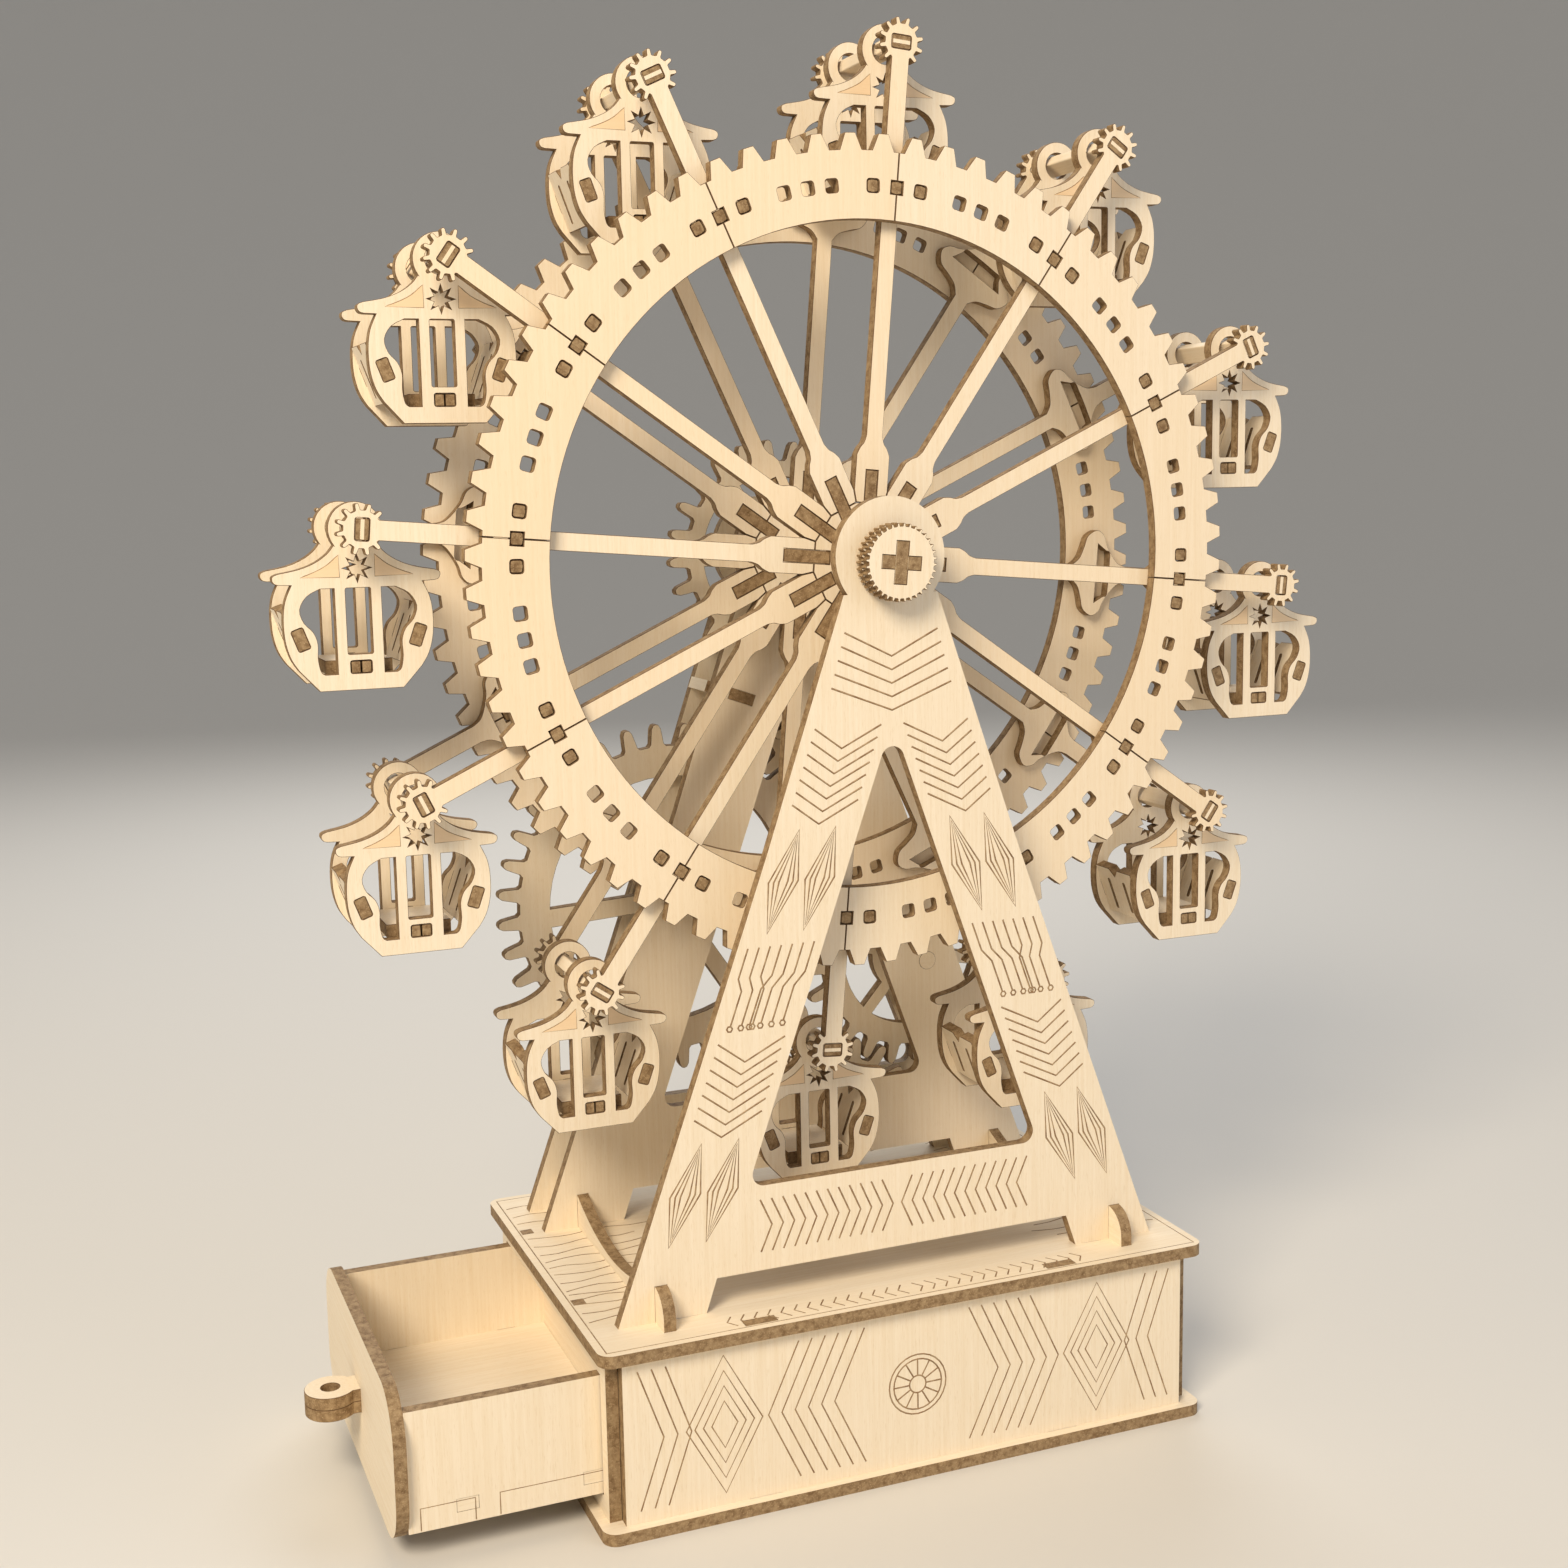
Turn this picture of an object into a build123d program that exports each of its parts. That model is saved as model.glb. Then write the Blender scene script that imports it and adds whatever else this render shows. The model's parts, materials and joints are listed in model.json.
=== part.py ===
from build123d import *
import os
from math import cos, degrees, pi, radians, sin, sqrt, tan

# Hand-cranked ferris wheel toy, cut from plywood sheet. Millimetres, +Z up.
# Origin: centre of the base's underside. -Y is the front, the wheel turns about a Y axis.

# ---- sheet and fits
ply = 3.0  # thickness of the sheet that every flat piece is cut from
slot_play = 0.1  # room on each side of a tab, key or strip in its slot
seam = 0.2  # saw-line between two pieces that lie edge to edge
shaft_play = 0.06  # radial room of a turning axle or pin in its hole
free_play = 0.4  # room between flat faces that slide or turn past each other

# ---- base box
base_length = 160.4
base_depth = 106.0
base_corner = 3.5
wall_height = 40.0
wall_inset = 2.5  # the plates stand out past the walls by this much
panel_tab = 8.0
wall_tab = 3.0
wall_tab_places = (-21.5, 26.4)

# ---- drawer
wall_post = 4.1  # wall left standing on each side of the drawer's opening
drawer_length = 57.2
drawer_height = 29.0
drawer_side_play = 0.5
floor_rise = 3.0  # floor's underside above the lower edge of the sides
floor_tab = 5.0
floor_tab_inset = 13.7  # from either end of a side
bay_sill = 4.75  # left wall's sill under the drawer opening
front_plate_lap = 2.4  # the front plate stands out past the sides by this much
front_plate_height = 36.6
front_plate_drop = 3.5  # how far the front plate reaches below the sides
front_plate_corner = 12.0
drawer_open = 45.5  # the drawer stands this far out
pull_radius = 6.2
pull_hole_radius = 2.3
pull_reach = 6.6  # from the front plate to the middle of the pull ring
pull_tongue = 8.0
rail_inset = 6.0  # runner's middle from the drawer's side

# ---- A-frames, seen from the wheel's axle
cabin_clearance = 19.3  # under the lowest cabin, down to the base
head_radius = 14.0
head_rise = 1.3
frame_shoulder = (12.1, -7.3)
frame_knee = (32.5, -66.7)
foot_outer = 72.0
foot_inner = 50.1
bar_inner = 47.3
bar_lift = 8.2  # crossbar's lower edge above the base
opening_apex = 37.5  # the opening's top, below the axle
opening_foot = (39.0, 29.15)  # half width and height above the base
outer_opening_foot = (44.0, 27.25)
opening_corner = 3.0
foot_tab = 5.0
front_frame_y = -40.1
inner_frame_y = 24.0
outer_frame_y = 39.5

# ---- long braces on the base and the tie between the rear frames
brace_middle = 61.3
brace_height = 8.8
brace_low = 2.4
brace_nose = 6.1  # how far the brace stands out in front of the front frame
tie_place = (-13.3, -37.1)
tie_lean = -20.0
tie_tenon = 7.2
tie_width = 13.0

# ---- wheel
arm_count = 12
wheel_turn = -5.094  # first arm from straight up, as it stands
front_ring_y = -29.5
wheel_depth = 47.0  # outer face to outer face of the two rings
ring_tip = 98.4
ring_root = 94.6
ring_inner = 79.0
teeth_per_segment = 6
tooth_top = 2.6
tooth_gap = 2.7
hub_flat = 13.5
arm_root_width = 8.6
arm_root_end = 24.8
spoke_start = 29.5
spoke_width = 4.2
strip_width = 4.5
head_neck = 81.0
head_low = (83.0, 7.6)  # distance out and half width
head_wide = (86.8, 11.7)
head_top = (93.4, 4.9)
hang_radius = 120.25  # cabin axles from the wheel's axis
star_tip_radius = 5.7
star_root_radius = 4.3
star_teeth = 10
star_missing = 2  # teeth left out where the strip runs in
cabin_axle_width = 4.8

# ---- wheel axle
cross_width = 9.8
cap_tip_radius = 9.1
cap_root_radius = 8.3
cap_teeth = 24
sleeve_radius = 7.5
sleeve_sides = 6

# ---- gears
module_drive = 2.5
module_wheel = 2.3
addendum = 1.05  # in modules
dedendum = 1.3
tooth_share = 0.37  # of the pitch that a tooth fills
flank_lean = 17.0
wheel_gear_teeth = 24
wheel_gear_turn = 3.2
transfer_small_teeth = 16
transfer_large_teeth = 20
large_gear_teeth = 36
large_gear_turn = 3.4
idler_teeth = 24
pinion_teeth = 12
wheel_layer_y = 31.0
drive_layer_y = 34.8
idler_place = (40.6, 60.85)  # from the axle sideways, and above the base
large_direction = 162.5  # from the idler
pinion_direction = 245.0
shaft_width = 4.0  # the small shafts and pins are strips cut from the sheet
gear_spokes = 6
spoke_narrow = 3.5
spoke_wide = 5.0
wheel_gear_web = (11.0, 20.5)  # windows' span, from the gear's middle
large_gear_web = (10.0, 33.5)
idler_web = (12.0, 20.5)

# ---- crank
crank_clear = 1.0  # crank arm behind the base's rear edge
crank_length = 25.0
crank_half_width = 6.0
crank_corner = 2.5
handle_radius = 4.0
handle_length = 18.0

# ---- cabins, seen from the hang point
cabin_depth = 23.0
boss_radius = 6.0
boss_hole_radius = 3.3
boss_shoulder = 35.0  # where the boss's outline leaves its round, up from level
boss_foot = (5.8, -4.3)
roof_hollow = (10.5, -7.8)
roof_end = (17.5, -9.4)
roof_tip = (18.6, -11.0)
roof_under = (14.5, -12.0)
belly = (16.6, -20.0)
belly_turn = (14.3, -30.0)
cabin_floor = (9.3, -35.7)
bar_near = 2.8
bar_far = 5.2
side_window = ((8.9, -13.0), (12.9, -16.9), (8.6, -29.0))
window_foot = -32.0
boss_hole_sides = 6
middle_window = (-13.0, -27.7)
bench_place = (13.0, -24.0)
bench_size = (3.0, 14.0)
bench_lean = 20.0
floor_middle = -30.6
floor_width = 15.0

# ---- worked out from the sizes above
base_height = wall_height + 2 * ply
axle_height = base_height + cabin_clearance - cabin_floor[1] + hang_radius
wall_x = base_length / 2 - wall_inset  # outer face of an end wall
panel_y = base_depth / 2 - wall_inset  # outer face of the front and back panels
ground = base_height - axle_height  # base top seen from the axle
wall_span = 2 * (panel_y - ply - slot_play)
drawer_width = wall_span - 2 * (wall_post + drawer_side_play)
front_plate_width = drawer_width + 2 * front_plate_lap
panel_span = 2 * (wall_x - ply - slot_play)
panel_tab_places = (-base_length / 4, base_length / 4)
brace_slot = ply + 2 * slot_play
foot_tab_place = (foot_inner + brace_middle - brace_slot / 2) / 2
drawer_low = ply + bay_sill + free_play
plate_x = -wall_x - drawer_open  # rear face of the drawer's front plate
drawer_back_x = plate_x + drawer_length
floor_z = drawer_low + floor_rise
floor_tab_x = (plate_x + floor_tab_inset, drawer_back_x - floor_tab_inset)
stop_x = -wall_x + drawer_length + free_play
front_plate_low = drawer_low - front_plate_drop
pull_z = front_plate_low + front_plate_height / 2
cross_corner = sqrt((cross_width / 2) ** 2 + (ply / 2) ** 2)
shaft_corner = sqrt((shaft_width / 2) ** 2 + (ply / 2) ** 2)
cap_y = front_frame_y - 2 * ply
front_arms_y = front_ring_y + ply
rear_ring_y = front_ring_y + wheel_depth - ply
rear_arms_y = rear_ring_y - ply
arm_step = 360 / arm_count
arm_turns = [90 + wheel_turn + arm_step * n for n in range(arm_count)]
frames_back_y = outer_frame_y + ply
crank_y = base_depth / 2 + crank_clear
star_step = 360 / star_teeth


def save(part, name):
    part.part.label = name
    export_step(part.part, f"parts/{name}.step")


def save_group(solids, name):
    # Pieces of the same kind that share one node and stay separate solids.
    group = Compound(children=list(solids), label=name)
    export_step(group, f"parts/{name}.step")


def upright(y, x=0.0, z=axle_height):
    # Rear face of an upright sheet whose front face is at y. A sketch on it is seen from the
    # front, and extruding by the sheet's thickness runs forwards to y.
    return Plane(origin=(x, y + ply, z), x_dir=(1, 0, 0), z_dir=(0, -1, 0))


def polar(radius, angle):
    return (radius * cos(radians(angle)), radius * sin(radians(angle)))


def both_sides(half):
    # Closes a half outline, given from top to bottom, over the middle line.
    return half + [(-x, y) for x, y in reversed(half) if x != 0]


def strip_slot(width):
    # Hole that holds a strip of the sheet, or two crossed ones, on edge.
    Rectangle(width + 2 * slot_play, ply + 2 * slot_play, mode=Mode.SUBTRACT)


# ======================================================== base box


def cut_wall_slots():
    wall_line = wall_x - ply / 2
    panel_line = panel_y - ply / 2
    for side in (-1, 1):
        with Locations(*[(side * wall_line, y) for y in wall_tab_places]):
            Rectangle(ply + 2 * slot_play, wall_tab + 2 * slot_play, mode=Mode.SUBTRACT)
        with Locations(*[(x, side * panel_line) for x in panel_tab_places]):
            Rectangle(panel_tab + 2 * slot_play, ply + 2 * slot_play, mode=Mode.SUBTRACT)


with BuildPart() as base_bottom:
    with BuildSketch(Plane.XY):
        RectangleRounded(base_length, base_depth, base_corner)
        cut_wall_slots()
    extrude(amount=ply)
save(base_bottom, "base_bottom")

with BuildPart() as base_top:
    with BuildSketch(Plane.XY.offset(base_height - ply)):
        RectangleRounded(base_length, base_depth, base_corner)
        cut_wall_slots()
        for frame_y in (front_frame_y, inner_frame_y, outer_frame_y):
            middle = frame_y + ply / 2
            with Locations((-foot_tab_place, middle), (foot_tab_place, middle)):
                Rectangle(foot_tab + 2 * slot_play, ply + 2 * slot_play, mode=Mode.SUBTRACT)
    extrude(amount=ply)
save(base_top, "base_top")


def long_panel(y):
    with BuildPart() as panel:
        with BuildSketch(upright(y, z=base_height / 2)):
            Rectangle(panel_span, wall_height)
            with Locations(*[(x, 0) for x in panel_tab_places]):
                Rectangle(panel_tab, base_height)
        extrude(amount=ply)
    return panel


save(long_panel(-panel_y), "base_front_panel")
save(long_panel(panel_y - ply), "base_back_panel")


def end_wall(x, opening_top):
    # Stands between the long panels; with an opening_top, the drawer's opening is cut.
    sill = ply + bay_sill
    with BuildPart() as wall:
        with BuildSketch(Plane.YZ.offset(x)):
            with Locations((0, base_height / 2)):
                Rectangle(wall_span, wall_height)
            with Locations(*[(y, base_height / 2) for y in wall_tab_places]):
                Rectangle(wall_tab, base_height)
            if opening_top > sill:
                with Locations((0, (sill + opening_top) / 2)):
                    Rectangle(
                        drawer_width + 2 * drawer_side_play, opening_top - sill, mode=Mode.SUBTRACT
                    )
        extrude(amount=ply)
    return wall


save(end_wall(-wall_x, drawer_low + drawer_height + free_play), "base_left_wall")
save(end_wall(wall_x - ply, 0), "base_right_wall")

with BuildPart() as inner_wall:
    with BuildSketch(Plane.YZ.offset(stop_x)):
        with Locations((0, base_height / 2)):
            Rectangle(wall_span, wall_height)
    extrude(amount=ply)
save(inner_wall, "inner_wall")

with BuildPart() as drawer_runners:
    rail_start = -wall_x + ply + slot_play
    rail_length = stop_x - slot_play - rail_start
    with BuildSketch(Plane.XY.offset(ply)):
        for side in (-1, 1):
            with Locations((rail_start + rail_length / 2, side * (drawer_width / 2 - rail_inset))):
                Rectangle(rail_length, ply)
    extrude(amount=bay_sill)
save(drawer_runners, "drawer_runners")

# ======================================================== drawer, standing open

with BuildPart() as drawer_sides:
    for side_y in (-drawer_width / 2, drawer_width / 2 - ply):
        with BuildSketch(upright(side_y, z=0)):
            with Locations((plate_x + drawer_length / 2, drawer_low + drawer_height / 2)):
                Rectangle(drawer_length, drawer_height)
            with Locations(*[(x, floor_z + ply / 2) for x in floor_tab_x]):
                Rectangle(floor_tab + 2 * slot_play, ply + 2 * slot_play, mode=Mode.SUBTRACT)
        extrude(amount=ply)
save(drawer_sides, "drawer_sides")

with BuildPart() as drawer_floor:
    floor_length = drawer_length - ply - slot_play
    with BuildSketch(Plane.XY.offset(floor_z)):
        with Locations((plate_x + floor_length / 2, 0)):
            Rectangle(floor_length, drawer_width - 2 * ply)
        with Locations(*[(x, 0) for x in floor_tab_x]):
            Rectangle(floor_tab, drawer_width)
    extrude(amount=ply)
save(drawer_floor, "drawer_floor")

with BuildPart() as drawer_back:
    with BuildSketch(Plane.YZ.offset(drawer_back_x - ply)):
        with Locations((0, drawer_low + drawer_height / 2)):
            Rectangle(drawer_width - 2 * ply, drawer_height)
    extrude(amount=ply)
save(drawer_back, "drawer_back")

with BuildPart() as drawer_front:
    with BuildSketch(Plane.YZ.offset(plate_x - ply)) as plate:
        with Locations((0, front_plate_low + front_plate_height / 2)):
            Rectangle(front_plate_width, front_plate_height)
        fillet(plate.vertices().group_by(Axis.Z)[-1], front_plate_corner)
        with Locations((0, pull_z)):
            Rectangle(pull_tongue + 2 * slot_play, 2 * ply + 2 * slot_play, mode=Mode.SUBTRACT)
    extrude(amount=ply)
save(drawer_front, "drawer_front")


with BuildPart() as drawer_pull:
    # A ring two sheets thick; its tongue goes through the front plate.
    ring_x = plate_x - ply - pull_reach
    with BuildSketch(Plane.XY.offset(pull_z - ply)):
        with Locations(((ring_x + plate_x) / 2, 0)):
            Rectangle(plate_x - ring_x, pull_tongue)
        with Locations((ring_x, 0)):
            Circle(pull_radius)
            Circle(pull_hole_radius, mode=Mode.SUBTRACT)
    extrude(amount=2 * ply)
save(drawer_pull, "drawer_pull")

# ======================================================== places of the gears


def from_place(place, direction, teeth):
    out = polar(module_drive * teeth / 2, direction)
    return (place[0] + out[0], place[1] + out[1])


def transfer_spot():
    # The transfer shaft meshes with the wheel's gear and with the large gear at once.
    to_wheel = module_wheel * (wheel_gear_teeth + transfer_small_teeth) / 2
    to_large = module_drive * (large_gear_teeth + transfer_large_teeth) / 2
    apart = sqrt(large_place[0] ** 2 + large_place[1] ** 2)
    along = (apart**2 + to_wheel**2 - to_large**2) / (2 * apart)
    beside = sqrt(to_wheel**2 - along**2)
    ux, uy = large_place[0] / apart, large_place[1] / apart
    return (along * ux - beside * uy, along * uy + beside * ux)


idler_spot = (idler_place[0], ground + idler_place[1])
large_place = from_place(idler_spot, large_direction, idler_teeth + large_gear_teeth)
pinion_place = from_place(idler_spot, pinion_direction, idler_teeth + pinion_teeth)
transfer_place = transfer_spot()

# ======================================================== A-frames


def a_frame(y, opening, holes, pins=()):
    # Round head, kinked legs, arched foot. holes are (place, radius) seen from the axle, for
    # what turns, and pins are the places of the strips that stand still.
    with BuildSketch() as inside:
        foot_z = ground + opening[1]
        Polygon((0, -opening_apex), (opening[0], foot_z), (-opening[0], foot_z), align=None)
        fillet(inside.vertices(), opening_corner)
    half = [
        (frame_shoulder[0], frame_shoulder[1]),
        frame_knee,
        (foot_outer, ground),
        (foot_inner, ground),
        (bar_inner, ground + bar_lift),
    ]
    with BuildPart() as frame:
        with BuildSketch(upright(y)):
            Polygon(*both_sides(half), align=None)
            with Locations((0, head_rise)):
                Circle(head_radius)
            add(inside.sketch, mode=Mode.SUBTRACT)
            with Locations((-foot_tab_place, ground - ply / 2), (foot_tab_place, ground - ply / 2)):
                Rectangle(foot_tab, ply)
            with Locations((-brace_middle, ground), (brace_middle, ground)):
                Rectangle(brace_slot, 2 * (brace_height + slot_play), mode=Mode.SUBTRACT)
            for place, radius in holes:
                with Locations(place):
                    Circle(radius, mode=Mode.SUBTRACT)
            for place in pins:
                with Locations(place):
                    strip_slot(shaft_width)
        extrude(amount=ply)
    return frame


def cut_tie_slots(frame, y):
    with BuildPart() as slotted:
        add(frame.part)
        with BuildSketch(upright(y)):
            with Locations(Location((tie_place[0], tie_place[1], 0), (0, 0, tie_lean))):
                Rectangle(tie_tenon + 2 * slot_play, ply + 2 * slot_play)
        extrude(amount=ply, mode=Mode.SUBTRACT)
    return slotted


axle_holes = [((0, 0), cross_corner + shaft_play)]
shaft_holes = [(place, shaft_corner + shaft_play) for place in (transfer_place, pinion_place)]
pin_places = (large_place, idler_spot)
save(a_frame(front_frame_y, opening_foot, axle_holes), "front_frame")
inner_frame = a_frame(inner_frame_y, opening_foot, axle_holes + shaft_holes, pin_places)
save(cut_tie_slots(inner_frame, inner_frame_y), "rear_frame_inner")
outer_frame = a_frame(outer_frame_y, outer_opening_foot, axle_holes + shaft_holes, pin_places)
save(cut_tie_slots(outer_frame, outer_frame_y), "rear_frame_outer")

# One long brace each side lies on the base and passes through the feet of all three frames.
with BuildPart() as long_braces:
    for middle in (-brace_middle, brace_middle):
        nose_y = front_frame_y - brace_nose
        valley_y = (front_frame_y + ply + inner_frame_y) / 2
        top = base_height + brace_height
        with BuildSketch(Plane.YZ.offset(middle - ply / 2)):
            with BuildLine():
                Line((nose_y, base_height), (nose_y, base_height + brace_low))
                TangentArc(
                    (nose_y, base_height + brace_low), (front_frame_y, top), tangent=(0, 1)
                )
                Line((front_frame_y, top), (front_frame_y + ply, top))
                ThreePointArc(
                    (front_frame_y + ply, top),
                    (valley_y, base_height + brace_low),
                    (inner_frame_y, top),
                )
                Line((inner_frame_y, top), (frames_back_y + slot_play, top))
                Line((frames_back_y + slot_play, top), (frames_back_y + slot_play, base_height))
                Line((frames_back_y + slot_play, base_height), (nose_y, base_height))
            make_face()
        extrude(amount=ply)
save(long_braces, "long_braces")

with BuildPart() as frame_tie:
    tie_plane = Plane(
        origin=(tie_place[0], inner_frame_y, axle_height + tie_place[1]),
        x_dir=(cos(radians(tie_lean)), 0, sin(radians(tie_lean))),
        z_dir=(-sin(radians(tie_lean)), 0, cos(radians(tie_lean))),
    )
    body_middle = (tie_tenon - tie_width) / 2
    with BuildSketch(tie_plane.offset(-ply / 2)):
        with Locations((0, (frames_back_y - inner_frame_y) / 2)):
            Rectangle(tie_tenon, frames_back_y - inner_frame_y)
        with Locations((body_middle, (outer_frame_y + ply - inner_frame_y) / 2)):
            Rectangle(tie_width, outer_frame_y - inner_frame_y - ply)
    extrude(amount=ply)
save(frame_tie, "frame_tie")

# ======================================================== wheel


def ring_segment(y, turn):
    # Half a tooth gap at each end; the tooth pitch is a whole share of the segment.
    step = arm_step / teeth_per_segment
    top_half = tooth_top / 2 / ring_tip * 180 / pi
    foot_half = step / 2 - tooth_gap / 2 / ring_root * 180 / pi
    outer = []
    for n in range(teeth_per_segment):
        middle = turn + step * (n + 0.5)
        outer += [polar(ring_root, middle - foot_half), polar(ring_tip, middle - top_half)]
        outer += [polar(ring_tip, middle + top_half), polar(ring_root, middle + foot_half)]
    lag = seam / 2 / ring_inner * 180 / pi
    start, end = turn + lag, turn + arm_step - lag
    with BuildPart() as segment:
        with BuildSketch(upright(y)):
            with BuildLine():
                Polyline(
                    polar(ring_inner, start),
                    polar(ring_root, turn + seam / 2 / ring_root * 180 / pi),
                    *outer,
                    polar(ring_root, turn + arm_step - seam / 2 / ring_root * 180 / pi),
                    polar(ring_inner, end),
                )
                ThreePointArc(
                    polar(ring_inner, end),
                    polar(ring_inner, (start + end) / 2),
                    polar(ring_inner, start),
                )
            make_face()
        extrude(amount=ply)
    return segment.part


save_group([ring_segment(front_ring_y, turn) for turn in arm_turns], "front_ring")
save_group([ring_segment(rear_ring_y, turn) for turn in arm_turns], "rear_ring")


def star_points():
    # Pointed teeth round the arm's end, from one side of the strip to the other.
    shown = star_teeth - star_missing
    first = -star_step * (shown - 1) / 2
    points = []
    for n in range(shown):
        tip = polar(star_tip_radius, first + star_step * n)
        points.append((hang_radius + tip[0], tip[1]))
        if n < shown - 1:
            root = polar(star_root_radius, first + star_step * (n + 0.5))
            points.append((hang_radius + root[0], root[1]))
    return list(reversed(points))


with BuildSketch() as arm_shape:
    # Lies along +X from the hub: fork at the root, spoke, two-lobed head, strip, toothed end.
    wedge = tan(radians(arm_step / 2))
    edge = seam / 2 / cos(radians(arm_step / 2))
    root_meet = (arm_root_width / 2 + edge) / wedge
    upper = [
        (hub_flat + seam / 2, (hub_flat + seam / 2) * wedge - edge),
        (root_meet, arm_root_width / 2),
        (arm_root_end, arm_root_width / 2),
        (spoke_start, spoke_width / 2),
        (head_neck, spoke_width / 2),
        head_low,
        head_wide,
        head_top,
        (head_top[0] + (head_top[1] - strip_width / 2) / 2, strip_width / 2),
    ]
    Polygon(*upper, *star_points(), *[(x, -y) for x, y in reversed(upper)], align=None)
    with Locations((hang_radius, 0)):
        strip_slot(cabin_axle_width)


def arms(y):
    solids = []
    for turn in arm_turns:
        with BuildPart() as arm:
            with BuildSketch(upright(y)):
                with Locations(Location((0, 0, 0), (0, 0, turn))):
                    add(arm_shape.sketch)
            extrude(amount=ply)
        solids.append(arm.part)
    return solids


save_group(arms(front_arms_y), "front_arms")
save_group(arms(rear_arms_y), "rear_arms")


def cut_cross():
    # Hole for the wheel's axle, two crossed strips.
    for turn in (0, 90):
        with Locations(Location((0, 0, 0), (0, 0, turn))):
            strip_slot(cross_width)


def hub_disc(y):
    with BuildPart() as disc:
        with BuildSketch(upright(y)):
            with Locations(Location((0, 0, 0), (0, 0, arm_turns[0]))):
                RegularPolygon(hub_flat - seam / 2, arm_count, major_radius=False, rotation=arm_step / 2)
                cut_cross()
        extrude(amount=ply)
    return disc.part


save_group([hub_disc(front_arms_y), hub_disc(rear_arms_y)], "hub_discs")


def axle_strip(lean, from_y, to_y, notch_low):
    # One strip of the cross axle, slit halfway along so that the two slide together.
    length = to_y - from_y
    side = Plane(
        origin=(0, from_y, axle_height),
        x_dir=(0, 1, 0),
        z_dir=(cos(radians(lean)), 0, sin(radians(lean))),
    )
    with BuildPart() as strip:
        with BuildSketch(side.offset(-ply / 2)):
            with Locations((length / 2, 0)):
                Rectangle(length, cross_width)
            slit_middle = length / 4 if notch_low else length * 3 / 4
            with Locations((slit_middle, 0)):
                Rectangle(length / 2 + slot_play, ply + 2 * slot_play, mode=Mode.SUBTRACT)
        extrude(amount=ply)
    return strip.part


axle_lean = arm_turns[0]
save_group(
    [
        axle_strip(axle_lean, cap_y, frames_back_y, True),
        axle_strip(axle_lean + 90, cap_y, frames_back_y, False),
    ],
    "wheel_axle",
)

with BuildPart() as axle_cap:
    with BuildSketch(upright(cap_y + ply - free_play)):
        with Locations(Location((0, 0, 0), (0, 0, axle_lean))):
            tooth = 360 / cap_teeth
            rim = []
            for n in range(cap_teeth):
                rim += [polar(cap_tip_radius, tooth * n), polar(cap_root_radius, tooth * (n + 0.5))]
            Polygon(*rim, align=None)
            cut_cross()
    extrude(amount=2 * ply - free_play)
save(axle_cap, "axle_cap")


def sleeve(front, rear):
    # Keeps what sits on the axle apart, from one place along it to another.
    with BuildPart() as one:
        with BuildSketch(upright(rear - ply)):
            with Locations(Location((0, 0, 0), (0, 0, axle_lean))):
                RegularPolygon(sleeve_radius, sleeve_sides)
                cut_cross()
        extrude(amount=rear - front)
    return one.part


sleeves = [
    sleeve(front_frame_y + ply + free_play, front_arms_y),
    sleeve(rear_arms_y + ply, inner_frame_y - free_play),
    sleeve(inner_frame_y + ply + free_play, wheel_layer_y),
]
save_group(sleeves, "axle_sleeves")

with BuildPart() as cabin_axles:
    with BuildSketch(upright(rear_arms_y)):
        with PolarLocations(hang_radius, arm_count, start_angle=arm_turns[0]):
            Rectangle(cabin_axle_width, ply)
    extrude(amount=rear_arms_y + ply - front_arms_y)
save(cabin_axles, "cabin_axles")

# ======================================================== gears


def mesh_turn(turn, teeth, direction, mate_teeth):
    # Turn of a gear that meshes, at rest, with one that lies the other way along direction.
    pitch, mate_pitch = 360 / teeth, 360 / mate_teeth
    ahead = (turn - direction) / pitch % 1
    return direction + 180 + mate_pitch * (0.5 - ahead)


def gear_outline(module, teeth, turn):
    pitch_radius = module * teeth / 2
    root, tip = pitch_radius - dedendum * module, pitch_radius + addendum * module
    half = tooth_share * pi * module / 2
    lean = tan(radians(flank_lean))
    root_half = degrees((half + dedendum * module * lean) / root)
    tip_half = degrees((half - addendum * module * lean) / tip)
    points = []
    for n in range(teeth):
        middle = turn + 360 / teeth * n
        points += [polar(root, middle - root_half), polar(tip, middle - tip_half)]
        points += [polar(tip, middle + tip_half), polar(root, middle + root_half)]
    return points


def gear_window(web, spoke):
    # Window between two spokes, about +X: web is its radial span, spoke the bar's width.
    half = 180 / gear_spokes
    low, high = (half - degrees(spoke / 2 / radius) for radius in web)
    Polygon(
        polar(web[0], -low), polar(web[1], -high), polar(web[1], high), polar(web[0], low),
        align=None, mode=Mode.SUBTRACT,
    )


def gear(y, place, module, teeth, turn, web=None, spoke=spoke_narrow, free=False):
    # Turns freely on its pin, or sits fast on its shaft.
    with BuildPart() as wheel:
        with BuildSketch(upright(y, place[0], axle_height + place[1])):
            Polygon(*gear_outline(module, teeth, turn), align=None)
            if web:
                for n in range(gear_spokes):
                    with Locations(Location((0, 0, 0), (0, 0, turn + 360 / gear_spokes * (n + 0.5)))):
                        gear_window(web, spoke)
            if free:
                Circle(shaft_corner + shaft_play, mode=Mode.SUBTRACT)
            elif place == (0, 0):
                with Locations(Location((0, 0, 0), (0, 0, axle_lean))):
                    cut_cross()
            else:
                strip_slot(shaft_width)
        extrude(amount=ply)
    return wheel


def direction_of(start, end):
    return Vector(end[0] - start[0], end[1] - start[1]).get_signed_angle(Vector(1, 0), Vector(0, 0, -1))


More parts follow.
